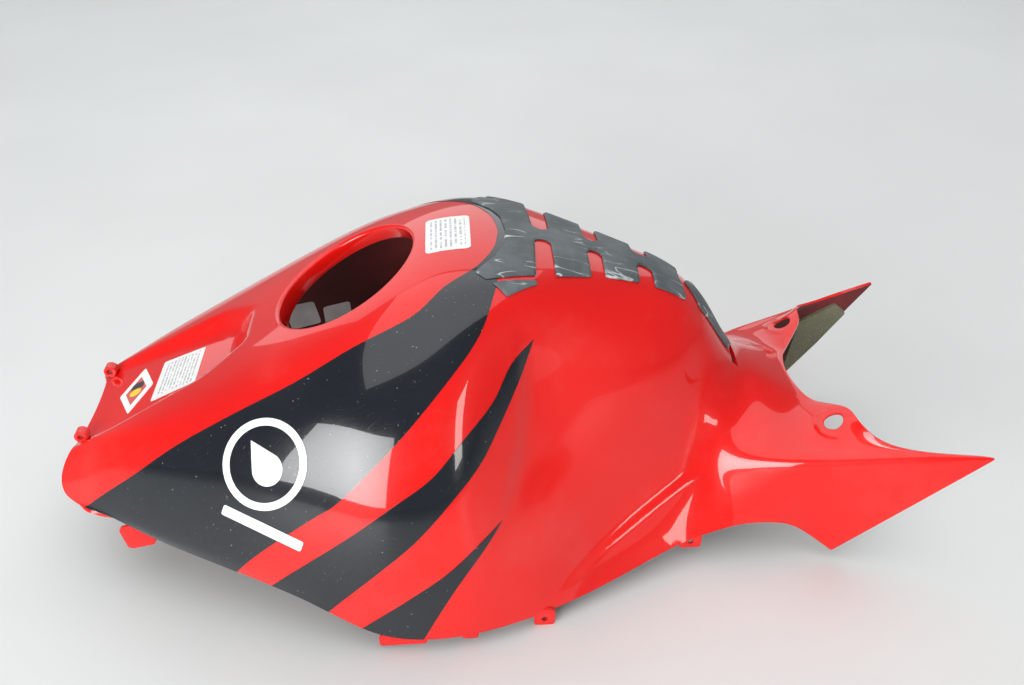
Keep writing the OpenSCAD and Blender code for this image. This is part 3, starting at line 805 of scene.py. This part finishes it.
def sign_film():
    """White diamond with a smaller red one inside, crossed by a yellow disc and a black bar."""
    shader = Shader("sign_film", coat_weight=0.3, coat_roughness=0.15)
    x, y = shader.drawn()
    x = x - SIGN_X
    disc_y, disc_r, bar_y = 3, 5.5, -8
    field = (abs(x) * (1 / SIGN_HALF_X) + abs(y) * (1 / SIGN_HALF_Y)) < 0.62
    bar = field * (abs(y - bar_y) < 5) * (abs(x) < 6)
    disc = (x * x + (y - disc_y) * (y - disc_y)).power(0.5) < disc_r
    colour = shader.mix(field, (0.88, 0.88, 0.86), (0.62, 0.10, 0.09))
    colour = shader.mix(bar, colour, (0.03, 0.03, 0.04))
    colour = shader.mix(field * disc, colour, (0.85, 0.62, 0.03))
    return shader.finish(base_color=colour, roughness=0.34 + shader.noise(60, 2) * 0.12)


rear_film = label_film("rear_label_film", 4.2, -107, -77, 26)
front_film = label_film("front_label_film", 3.4, 140, 173, 25)
inner_film = plain_label()
sign = sign_film()
print("materials", rear_film.name, front_film.name, inner_film.name, sign.name)

# %% [markdown]
# ## Heat felt
# Inside each tail is an olive felt pad that keeps exhaust heat off the plastic. Fibres are a fine,
# strongly detailed noise with a bump, and no gloss at all.

# %% Heat felt
def heat_felt():
    shader = Shader("heat_felt", sheen_weight=0.3)
    dark_olive, pale_olive, soot = (0.10, 0.095, 0.050), (0.24, 0.23, 0.14), (0.085, 0.078, 0.05)
    fibres = shader.noise(700, 6, 0.75)
    tone = shader.mix(fibres.ramp(0.35, 0.65), dark_olive, pale_olive)
    tone = shader.mix(shader.noise(22, 3).ramp(0.4, 0.7) * 0.5, tone, soot)
    return shader.finish(base_color=tone, roughness=0.85 + fibres * 0.1,
                         normal=shader.bump(fibres, 0.6))


felt = heat_felt()
print("material", felt.name)

# %% [markdown]
# # The moulding itself
# The shell could be a thin surface with a solidify modifier, but a modifier can't roll the edge of
# the filler opening. So both faces are made from the same net of (section, rail) numbers, at height
# zero and at minus the skin's thickness, and every edge gets its own profile.

# %% The net of the shell
SKIN_T = 2.8
tails_from = 16
rows = np.concatenate([[0.02], np.arange(0.1, tails_from, 0.1),
                       np.arange(tails_from, LAST_SECTION, 0.07), [LAST_SECTION - 0.01]])
cols = np.arange(-LAST_RAIL * 8, LAST_RAIL * 8 + 1) / 8
cols[0], cols[-1] = -LAST_RAIL + 0.02, LAST_RAIL - 0.02
grid_u, grid_v = np.meshgrid(rows, cols, indexing="ij")
grid_uv = np.stack([grid_u, grid_v], -1).reshape(-1, 2)
print(len(rows), "rows of", len(cols), "points")

# %% [markdown]
# ## Openings
# Each opening is a ring of points on the skin. The filler's ring stands a little outside its bore,
# because the paint rolls over into the collar. The seat bolt holes have a small roll, and the slit
# is cut square.

# %% Rings of the openings
def axis_plan(axis):
    """The drawing plane square to an axis that leans in x and z."""
    return np.array([[axis[2], 0, -axis[0]], [0, 1, 0]])


def opening_ring(mount, roll, where, sections_range, rails_range, count):
    """(section, rail) pairs of a ring that stands outside a mount's bore by the width of its roll."""
    plan = axis_plan(np.array(mount["axis"]))
    outline = circle(plan @ where, mount["dims"]["r_mm"] + roll, count)
    return locate(plan, outline, sections_range, rails_range)


filler_roll, bolt_roll = 3.2, 0.9
openings = [opening_ring(filler, filler_roll, np.zeros(3), (3, 8), (-3.5, 3.5), 144)]
for side, s in SIDES:
    bolt = mounts["seat_bolt_" + side]
    openings.append(opening_ring(bolt, bolt_roll, to_drawing(bolt["pos_m"]), (16, 19),
                                 on_side(s, 2.5, 7), 36))
slit_x, slit_length, slit_width = -350, 6, 50
slit_corners = [(slit_x + sx * slit_length / 2, sy * slit_width / 2)
                for sx, sy in ((-1, -1), (1, -1), (1, 1), (-1, 1))]
openings.append(locate(roof_plan, dense(np.array(slit_corners), 2.5), (13.5, 15.5), (-2, 2)))
print("ring sizes:", [len(ring) for ring in openings])

# %% [markdown]
# ## Cutting the rings out of the net
# The block of net round a ring is taken out and filled again with triangles that keep the ring.
# Far from the rings the net stays in clean quads.

# %% Joining net and rings
def ring_block(ring):
    """The index range of the net that a ring lies in, with two rows to spare."""
    low, high = ring.min(0), ring.max(0)
    i = np.searchsorted(rows, (low[0], high[0])) + (-3, 2)
    j = np.searchsorted(cols, (low[1], high[1])) + (-3, 2)
    return i, j


clear_of_ring = 1.3
width = len(cols)
uv_list = [tuple(p) for p in grid_uv]
is_quad = np.ones((len(rows) - 1, width - 1), bool)
shell_triangles, ring_ids = [], []
for ring in openings:
    (i0, i1), (j0, j1) = ring_block(ring)
    is_quad[i0:i1, j0:j1] = False
    scale = mm_per_number(ring.mean(0))
    ids = [i * width + j for i in range(i0, i1 + 1) for j in range(j0, j1 + 1)]
    border = [(i0, j) for j in range(j0, j1)] + [(i, j1) for i in range(i0, i1)]
    border += [(i1, j) for j in range(j1, j0, -1)] + [(i, j0) for i in range(i1, i0, -1)]
    border = [i * width + j for i, j in border]
    flat_ring = ring * scale
    inner_ids = [k for k in ids if k not in set(border)]
    flat_inner = grid_uv[inner_ids] * scale
    away = ~inside(flat_inner, [flat_ring]) & (distance_to(flat_inner, [flat_ring]) > clear_of_ring)
    inner_ids = [k for k, keep in zip(inner_ids, away) if keep]
    start = len(uv_list)
    uv_list += [tuple(p) for p in ring]
    ring_ids.append(list(range(start, start + len(ring))))
    ids = border + ring_ids[-1] + inner_ids
    flat = np.array([uv_list[k] for k in ids]) * scale
    loops = [(0, len(border)), (len(border), len(border) + len(ring))]
    edges = [(k, k + 1 if k + 1 < stop else first) for first, stop in loops for k in range(first, stop)]
    spots, triangles, sources = triangulate(flat, edges, 1e-7)
    assert len(spots) == len(flat), "the triangulation added points"
    kept = triangles[inside(spots[triangles].mean(1), [flat[:len(border)], flat_ring])]
    back = np.array([ids[source[0]] for source in sources])
    shell_triangles += back[kept].tolist()
shell_uv = np.array(uv_list)
quads = [(i * width + j, (i + 1) * width + j, (i + 1) * width + j + 1, i * width + j + 1)
         for i, j in np.argwhere(is_quad).tolist()]
print(len(quads), "quads and", len(shell_triangles), "triangles on one face")

# %% [markdown]
# ## Small relief
# One detail is too small for the sections: a raised crescent in front of each seat bolt hole, which
# centres the washer. It is a smooth ridge added to the outer face only.

# %% Relief round the seat bolt holes
crescent_r, crescent_width, crescent_height = 15.0, 1.5, 1.5
crescent_ends, ear_reach = (1.2, 1.6), 30


def relief(points):
    """Extra height of the outer skin at these points, in mm."""
    height = np.zeros(len(points))
    for side, _ in SIDES:
        bolt = mounts["seat_bolt_" + side]
        away = points - to_drawing(bolt["pos_m"])
        flat = away @ axis_plan(np.array(bolt["axis"])).T
        ring = (np.linalg.norm(flat, axis=1) - crescent_r) / crescent_width
        turn = np.abs(np.arctan2(flat[:, 1], flat[:, 0]))
        ridge = np.exp(-ring**2) * (1 - soft_step(*crescent_ends, turn))
        height += np.where(np.linalg.norm(away, axis=1) < ear_reach, crescent_height * ridge, 0)
    return height


outer = lifted(shell_uv, 0.0)
outer += ways(shell_uv[:, 0], shell_uv[:, 1]) * relief(outer)[:, None]
inner = lifted(shell_uv, -SKIN_T)
print("highest relief, mm:", round(float(relief(lifted(shell_uv, 0.0)).max()), 2))

# %% [markdown]
# ## Edges
# The free edge of the whole cover is rounded by two extra lines of points. The filler's roll is a
# quarter circle from the skin down into the collar, which then runs along the filler's axis.

# %% Shell mesh
shell_points = [*outer, *inner]
count = len(shell_uv)
outer_faces = [tuple(reversed(t)) for t in shell_triangles] + [tuple(reversed(q)) for q in quads]
inner_faces = [tuple(k + count for k in f) for f in (*shell_triangles, *quads)]
last_row = len(rows) - 1
rim_cells = [(0, j) for j in range(width - 1)] + [(i, width - 1) for i in range(last_row)]
rim_cells += [(last_row, j) for j in range(width - 1, 0, -1)] + [(i, 0) for i in range(last_row, 0, -1)]
rim_ids = [i * width + j for i, j in rim_cells]
edge_uv = shell_uv[rim_ids].copy()
edge_u, edge_v = edge_uv.T
edge_u[edge_u <= rows[0]] = 0
edge_u[edge_u >= rows[-1]] = LAST_SECTION
edge_v[edge_v <= cols[0]] = -LAST_RAIL
edge_v[edge_v >= cols[-1]] = LAST_RAIL


def band(first, second, flip=False):
    """Quads between two closed rings of point numbers."""
    pairs = zip(first, first[1:] + first[:1], second[1:] + second[:1], second)
    return [tuple(reversed(q)) if flip else q for q in pairs]


def add_ring(points):
    start = len(shell_points)
    shell_points.extend(points)
    return list(range(start, start + len(points)))


def bands(chain, flip=False):
    """Quads from each closed ring of point numbers to the next one."""
    return [quad for first, second in zip(chain, chain[1:]) for quad in band(first, second, flip)]


def inner_ring(ids):
    """The ring of the inner face that lies behind a ring of the outer face."""
    return [k + count for k in ids]


rim_lines = [add_ring(lifted(edge_uv, -share * SKIN_T)) for share in (0.22, 0.78)]
edge_faces = bands([rim_ids, *rim_lines, inner_ring(rim_ids)])
print("points along the free edge:", len(rim_ids))

# %% Filler roll and collar
collar_depth, collar_wall, collar_lip = 16.0, 3.5, 0.6
across_axis = axis_plan(filler_axis)
filler_points = outer[ring_ids[0]]
outward = unit(filler_points @ across_axis.T) @ across_axis
skin_level = filler_points @ filler_axis


def collar_ring(radius, level):
    """A ring of points round the filler's axis, at one level along it or at a level for each."""
    return add_ring(outward * radius + np.broadcast_to(level, len(outward))[:, None] * filler_axis)


roll = [collar_ring(filler_r + filler_roll * (1 - math.sin(a)),
                    skin_level - filler_roll * (1 - math.cos(a)))
        for a in np.radians((18, 36, 54, 72, 90))]
collar_low = collar_ring(filler_r, -collar_depth)
lip_inside = collar_ring(filler_r + collar_lip, -collar_depth - collar_lip)
lip_outside = collar_ring(filler_r + collar_wall, -collar_depth - collar_lip)
roll_faces = bands([ring_ids[0], *roll, collar_low, lip_inside], flip=True)
collar_back = bands([lip_inside, lip_outside, inner_ring(ring_ids[0])], flip=True)
print("points round the filler:", len(filler_points))

# %% [markdown]
# The bolt holes need only a small roll and a wall through the thickness, and the slit only the wall.

# %% Walls of the small openings, and the finished shell
_, *bolt_ids, slit_ids = ring_ids
wall_faces = []
for (side, _), ids in zip(SIDES, bolt_ids):
    bolt = mounts["seat_bolt_" + side]
    axis = np.array(bolt["axis"])
    plan = axis_plan(axis)
    out = unit((outer[ids] - to_drawing(bolt["pos_m"])) @ plan.T) @ plan
    roll = [add_ring(outer[ids] - bolt_roll * (inward * out + down * axis))
            for inward, down in ((0.7, 0.3), (1, 1))]
    wall_faces += bands([ids, *roll, inner_ring(ids)], flip=True)
wall_faces += bands([slit_ids, inner_ring(slit_ids)], flip=True)

shell_faces = outer_faces + edge_faces + roll_faces + wall_faces + collar_back + inner_faces
shell = add_piece("cover_shell_painted", np.array(shell_points), shell_faces, red, crease=50)
shell.data.materials.append(inside_finish)
bare = len(collar_back) + len(inner_faces)
kinds = np.zeros(len(shell.data.polygons), np.int32)
kinds[-bare:] = 1
shell.data.polygons.foreach_set("material_index", kinds)
hand_over(shell, "cover_shell")
print("shell faces:", len(shell.data.polygons))

# %% [markdown]
# ## Tabs and lugs
# Under the hems hang flat tabs that hook into the fairings, two of them drilled on each side. They
# are made as if sawn from sheet: an outline with rounded corners, a hole, and a thickness.

# %% A drilled plate
TAB_T = 3.0
BEVEL, BEVEL_DROP = 0.5, 0.3


def rounded_box(low, high, radius, steps=5):
    """Outline of a box with rounded corners."""
    (x0, y0), (x1, y1) = np.add(low, radius), np.subtract(high, radius)
    points = []
    for k, centre in enumerate(((x1, y1), (x0, y1), (x0, y0), (x1, y0))):
        for a in np.linspace(k * math.pi / 2, (k + 1) * math.pi / 2, steps):
            points.append((centre[0] + radius * math.cos(a), centre[1] + radius * math.sin(a)))
    return np.array(points)


def plate(name, outline, holes, place, mirrored):
    """A red plate with holes; place turns drawn (a, b, height) into points in mm."""
    rings = [outline, *holes]
    flat, triangles = fill(rings, 4.0)
    drop = BEVEL_DROP * (1 - np.clip(distance_to(flat, rings) / BEVEL, 0, 1))
    points = np.concatenate([np.column_stack([flat, TAB_T - drop]), np.column_stack([flat, drop])])
    faces = [*triangles.tolist(), *(triangles[:, ::-1] + len(flat)).tolist()]
    faces += [(b, a, a + len(flat), b + len(flat)) for a, b in free_edges(triangles)]
    piece = add_piece(name, place(points), faces, red)
    if mirrored:
        piece.data.flip_normals()
    hand_over(piece, "cover_shell")


tabs = {"long": (-43, 202, -236, 40, 8), "short": (-99, 198, -236, 14, 9),
        "knee": (-163, 183, -236, 18, 14), "rear": (-303, 113, -222, 20, 14)}
tab_root, tab_corner = 4, 3.0
for side, s in SIDES:
    for kind, (x, y, z, length, drop) in tabs.items():
        outline = rounded_box((x - length / 2, z - drop), (x + length / 2, z + tab_root), tab_corner)
        mount = mounts.get(f"{kind}_tab_{side}")
        holes = []
        if mount:
            holes = [circle(to_drawing(mount["pos_m"])[[0, 2]], mount["dims"]["r_mm"], 24)]

        def on_flank(points, y=y, s=s):
            return np.column_stack([points[:, 0], s * (y - points[:, 2]), points[:, 1]])

        plate(f"tab_{kind}_{side}", outline, holes, on_flank, mirrored=s < 0)
print("tabs made:", 2 * len(tabs))

# %% [markdown]
# The front tab is a small bracket under the nose, and the lugs are short drilled barrels on the
# two front corners of the crest. A turned shape needs only half its section and one full turn.

# %% Front tabs and lugs
front_tab_at, front_tab_size, front_tab_turn = (172, 107, -204), 26, math.radians(12)


def turned(profile, centre, count=28):
    """A ring-shaped solid round a crosswise axis, from a closed profile of (radius, height)."""
    spin = np.arange(count) * math.tau / count
    points = [centre + (r * math.sin(a), h, r * math.cos(a)) for r, h in profile for a in spin]
    size = len(profile)
    faces = [(i * count + k, i * count + (k + 1) % count, (i + 1) % size * count + (k + 1) % count,
              (i + 1) % size * count + k) for i in range(size) for k in range(count)]
    return np.array(points), faces


front_tab_corner = 5.0
lug_r, lug_half, lug_edge = 6.0, 5.0, 0.7
for side, s in SIDES:
    outline = rounded_box((0, 0), (front_tab_size, front_tab_size), front_tab_corner)

    def under_nose(points, s=s):
        x, y, z = front_tab_at
        ca, sa = math.cos(front_tab_turn), math.sin(front_tab_turn)
        a, b, height = points.T
        return np.column_stack([x + a * ca + b * sa, s * (y + TAB_T - height), z - a * sa + b * ca])

    plate(f"tab_front_{side}", outline, [], under_nose, mirrored=s < 0)
    lug = mounts["front_lug_" + side]
    bore = lug["dims"]["r_mm"]
    half_profile = [(bore, lug_half - lug_edge), (bore + lug_edge, lug_half),
                    (lug_r - lug_edge, lug_half), (lug_r, lug_half - lug_edge)]
    profile = half_profile + [(r, -h) for r, h in reversed(half_profile)]
    barrel = add_piece(f"lug_front_{side}", *turned(profile, to_drawing(lug["pos_m"])), red)
    hand_over(barrel, "cover_shell")
print("front brackets and lugs made")

# %% [markdown]
# # Graphics
# All graphics are mirrored left and right. Their edges are long smooth curves, so a few points
# through a spline are enough. The emblem is a plain ring round a fuel drop, with a plain bar under
# it.

# %% Outlines of the vinyl
GLUE, VINYL_T, LABEL_T, PAD_T, HEAT_T = 0.05, 0.3, 0.3, 2.2, 3.0
SECOND_LAYER = 2 * GLUE + VINYL_T
panel_front = curve_through([(262, 201), (216, 180), (180, 165), (136, 144), (83, 123), (33, 104),
                             (-14, 81), (-62, 59), (-88, 35), (-111, 19), (-123, 6), (-131, -8),
                             (-135, -28)])
panel_rear = curve_through([(-143, -32), (-137, 4), (-131, 28), (-128, 40), (-115, 75), (-90, 110),
                            (-48, 157), (-3, 197), (23, 211), (67, 233), (93, 248), (112, 262)])
side_panel = np.concatenate([panel_front, panel_rear])
wave_front = curve_through([(-158, 77), (-139, 97), (-123, 127), (-99, 156), (-73, 185), (-41, 206),
                            (-2, 229), (63, 261), (84, 272)])
wave_rear = curve_through([(-158, 77), (-145, 109), (-127, 146), (-111, 175), (-87, 204), (-58, 233),
                           (-25, 257), (13, 282), (32, 296)])
wave_stripe = np.concatenate([wave_front, wave_rear[:0:-1]])
spear_front = curve_through([(-128, 218), (-87, 255), (-48, 279), (-13, 298), (2, 308)])
spear_rear = curve_through([(-128, 218), (-113, 240), (-87, 273), (-61, 310), (-54, 322)])
spear = np.concatenate([spear_front, spear_rear[:0:-1]])
print("points per outline:", len(side_panel), len(wave_stripe), len(spear))

# %% Emblem outlines
emblem_at, emblem_r, emblem_ring_w, emblem_turn = np.array([60, 166]), 36, 6, math.radians(28)
drop_r, drop_tip = 13, 22


def turned_about(points, centre, angle):
    c, s = math.cos(angle), math.sin(angle)
    return points @ np.array([[c, s], [-s, c]]) + centre


def drop_outline():
    """A fuel drop: a circle whose sides run together in a point at the top."""
    lean = math.asin(drop_r / (drop_tip + 5))
    spin = np.linspace(-lean, math.pi + lean, 40)
    body = np.stack([drop_r * np.cos(spin), 5 + drop_r * np.sin(spin)], -1)
    return np.concatenate([body, [[0, -drop_tip]]])


bar_at, bar_size, bar_turn = np.array([66, 215]), (74, 8), math.radians(-27)
emblem_ring = [circle(emblem_at, emblem_r, 96), circle(emblem_at, emblem_r - emblem_ring_w, 84)]
emblem_drop = [turned_about(drop_outline(), emblem_at, emblem_turn)]
bar_half = np.array(bar_size) / 2
emblem_bar = [turned_about(rounded_box(-bar_half, bar_half, 1.5), bar_at, bar_turn)]
print("drop points:", len(emblem_drop[0]))

# %% Vinyl pieces
black_layer = (black_vinyl, "black_vinyl", GLUE)
white_layer = (white_vinyl, "white_vinyl", SECOND_LAYER)
films = [
    # piece, node, outlines, sections, rails, layer, spacing
    ("side_panel_film", "side_panel", [side_panel], (0, 10.3), (0, 12.8), black_layer, 3.5),
    ("wave_stripe_film", "wave_stripe", [wave_stripe], (3, 10.3), (3, 12.3), black_layer, 2.5),
    ("spear_film", "spear", [spear], (5, 10.3), (7, 12.3), black_layer, 2.5),
    ("emblem_ring", "emblem", emblem_ring, (3, 7), (4, 10.3), white_layer, 2.0),
    ("emblem_drop", "emblem", emblem_drop, (3, 7), (4, 10.3), white_layer, 2.0),
    ("emblem_bar_film", "emblem_bar", emblem_bar, (3, 7), (5, 11.3), white_layer, 2.0),
]
for side, s in SIDES:
    for name, node, outlines, sections_range, rails, (finish, slot, height), spacing in films:
        film = sticker(f"{name}_{side}", flank_plan(s), outlines, sections_range, on_side(s, *rails),
                       height, VINYL_T, finish, spacing)
        hand_over(film, f"{node}_{side}")
print("vinyl pieces made for both sides")

# %% [markdown]
# # Rubber pad
# The pad protects the paint from belt buckles. Its head lies across the top, three pairs of ribs
# hang on a narrow spine, a separate arrow-shaped tail runs down the rear wall, and a small wedge
# sits on each shoulder. Its rim is rounded, which is what catches the light in the real one.

# %% Pad outlines
pad_spine = 9


def both_halves(half):
    """A closed outline from its left half, which starts and ends on the centre line."""
    half = np.array(half, float)
    other = half[::-1] * (1, -1)
    return np.concatenate([half, other[np.abs(other[:, 1]) > 1e-9]])


pad_head = [(-141, 0), (-138, 26), (-130, 44), (-113, 65), (-121, 74), (-139, 70), (-162, 63),
            (-165, pad_spine + 4), (-169, pad_spine)]
pad_ribs = [(-175, pad_spine), (-179, pad_spine + 4), (-179, 58), (-210, 46), (-210, pad_spine + 6),
            (-213, pad_spine), (-219, pad_spine), (-223, pad_spine + 4), (-223, 41), (-254, 33),
            (-254, pad_spine + 6), (-257, pad_spine), (-264, pad_spine), (-268, pad_spine + 4),
            (-268, 31), (-297, 27), (-294, 0)]
pad_body = both_halves(pad_head + pad_ribs)
pad_tail = [(3, -21), (20, -36), (18, -62), (15, -84), (0, -90), (-15, -84), (-18, -62), (-20, -36),
            (-3, -21)]
pad_wedge = [(-126, 78), (-137, 87), (-163, 71), (-162, 68), (-133, 75.5)]


def softened(outline, radius, steps=4):
    """The outline with its corners rounded off."""
    outline = np.asarray(outline, float)
    rows = []
    for before, here, after in zip(np.roll(outline, 1, axis=0), outline, np.roll(outline, -1, axis=0)):
        back, on = before - here, after - here
        reach = min(radius, np.linalg.norm(back) / 2.2, np.linalg.norm(on) / 2.2)
        a, b = here + unit(back) * reach, here + unit(on) * reach
        for t in np.linspace(0, 1, steps):
            rows.append((1 - t)**2 * a + 2 * t * (1 - t) * here + t**2 * b)
    return np.array(rows)


print("pad outline points:", len(pad_body))

# %% Pad pieces
PAD_RIM = 1.8
pads = [("pad_body_rubber", "pad_body", roof_plan, softened(pad_body, 2.0), (8, 14), (-4.6, 4.6), 1.6),
        ("pad_tail_rubber", "pad_tail", rear_plan, softened(pad_tail, 2.0), (12.2, 14.6), (-2, 2), 1.6)]
for side, s in SIDES:
    wedge = softened(np.array(pad_wedge) * (1, s), 1.5)[::s]
    pads.append(("pad_wedge_" + side, "pad_diamond_" + side, roof_plan, wedge, (8, 10.3),
                 on_side(s, 2, 6), 1.4))
for name, node, plan, outline, sections_range, rails, spacing in pads:
    pad = sticker(name, plan, [outline], sections_range, rails, SECOND_LAYER, PAD_T, rubber, spacing,
                  rim=PAD_RIM, crease=60)
    hand_over(pad, node)
    print(name, "faces:", len(pad.data.polygons))

# %% [markdown]
# # Labels and the sign
# Behind the filler and in the dish lie printed labels, and the sign in front of them is a diamond.
# Two more labels are stuck to the inside of the right flank, where the opening shows them.

# %% Labels
behind_skin = -SKIN_T - GLUE
inner_low = behind_skin - LABEL_T
front_corners = [(136, -28), (136, 28), (177.5, 31), (177.5, -31)]
sign_corners = [(198, -SIGN_HALF_Y), (182, 0), (198, SIGN_HALF_Y), (215, 0)]
inner_front_corners = [(84, -119), (54, -121), (50, -156), (80, -156)]
inner_rear_corners = [(46, -134), (18, -134), (18, -162), (46, -162)]
labels = [
    # node, drawing plane, outline, sections, rails, height, finish
    ("rear_label", roof_plan, rounded_box((-111, -30), (-73, 30), 4), (6, 10), (-2, 2), GLUE, rear_film),
    ("front_label", roof_plan, softened(front_corners, 2), (1, 4), (-2, 2), GLUE, front_film),
    ("front_sign", roof_plan, softened(sign_corners, 3), (0, 3), (-2, 2), GLUE, sign),
    ("inner_label_front", wall_plan, softened(inner_front_corners, 4), (3, 6), (-9.5, -6), inner_low,
     inner_film),
    ("inner_label_rear", wall_plan, softened(inner_rear_corners, 4), (4, 7), (-9.8, -6.5), inner_low,
     inner_film),
]
for node, plan, outline, sections_range, rails, height, finish in labels:
    label = sticker(node + "_film", plan, [outline], sections_range, rails, height, LABEL_T, finish, 2.5)
    hand_over(label, node)
print("labels made")

# %% [markdown]
# # Heat pads
# The felt follows the inner face of each tail wall. It is a slab like the stickers, only thicker and
# on the other side of the skin, with soft edges.

# %% Heat pads
heat_corners = [(-461, -145), (-502, -131), (-516, -144), (-501, -163), (-454, -210), (-452, -196)]
for side, s in SIDES:
    pad = sticker("heat_pad_felt_" + side, wall_plan, [softened(heat_corners, 3)], (16.5, 19),
                  on_side(s, 8.6, 11), behind_skin - HEAT_T, HEAT_T, felt, 3.0, crease=50)
    hand_over(pad, "heat_pad_" + side)
print("heat pads made")

# %% [markdown]
# # Floor and light
# A plain pale floor and large soft lights. Glossy paint shows its lights as much as its colour. A low
# wide panel on the left front, like a window, is what the black vinyl mirrors, and a narrow one
# behind it draws the upright gleam at the knee. A pale wall on the far side gives the roof its sheen,
# and the panel overhead lights the floor. The room itself stays dim, or black would turn grey.

# %% Floor
floor_half = 40.0
floor_level = cad_box[0][2]
floor_mesh = bpy.data.meshes.new("floor")
floor_mesh.from_pydata([(x * floor_half, y * floor_half, floor_level) for x, y in
                        ((-1, -1), (1, -1), (1, 1), (-1, 1))], [], [(0, 1, 2, 3)])
floor = bpy.data.objects.new("floor", floor_mesh)
bpy.context.scene.collection.objects.link(floor)
floor_shader = Shader("floor_paint", roughness=0.5)
pale, paler = (0.65, 0.67, 0.66), (0.69, 0.71, 0.70)
floor_tone = floor_shader.mix(floor_shader.noise(2.5, 3).ramp(0.3, 0.7), pale, paler)
floor_mesh.materials.append(floor_shader.finish(base_color=floor_tone))
print("floor at z =", round(floor_level, 4))

# %% Lights
middle = (cad_box[0] + cad_box[1]) / 2


def soft_light(name, place, size, watts, colour=(1, 1, 1), spread=180):
    """A rectangular light that points at the middle of the model."""
    data = bpy.data.lights.new(name, "AREA")
    data.shape, data.size, data.size_y = "RECTANGLE", *size
    data.energy, data.color, data.spread = watts, colour, math.radians(spread)
    light = bpy.data.objects.new(name, data)
    light.location = place
    light.rotation_euler = (Vector(middle) - Vector(place)).to_track_quat("-Z", "Y").to_euler()
    light.visible_camera = False
    bpy.context.scene.collection.objects.link(light)


soft_light("overhead", (0.1, 0.0, 2.8), (4.6, 3.6), 76)
soft_light("window", (1.25, 2.0, 0.66), (1.75, 1.0), 16, spread=90)
soft_light("narrow_window", (-1.35, 1.75, 0.55), (0.3, 0.6), 5, colour=(1.0, 0.96, 0.9))
soft_light("pale_wall", (0.0, -3.0, 1.9), (5.6, 2.2), 42)
world = bpy.data.worlds.new("pale_room")
bpy.context.scene.world = world
world.use_nodes = True
room = world.node_tree.nodes["Background"].inputs
room["Color"].default_value, room["Strength"].default_value = (0.93, 0.96, 1.0, 1), 0.26
bpy.context.scene.view_settings.view_transform = "Standard"
print("lights:", len(bpy.data.lights))
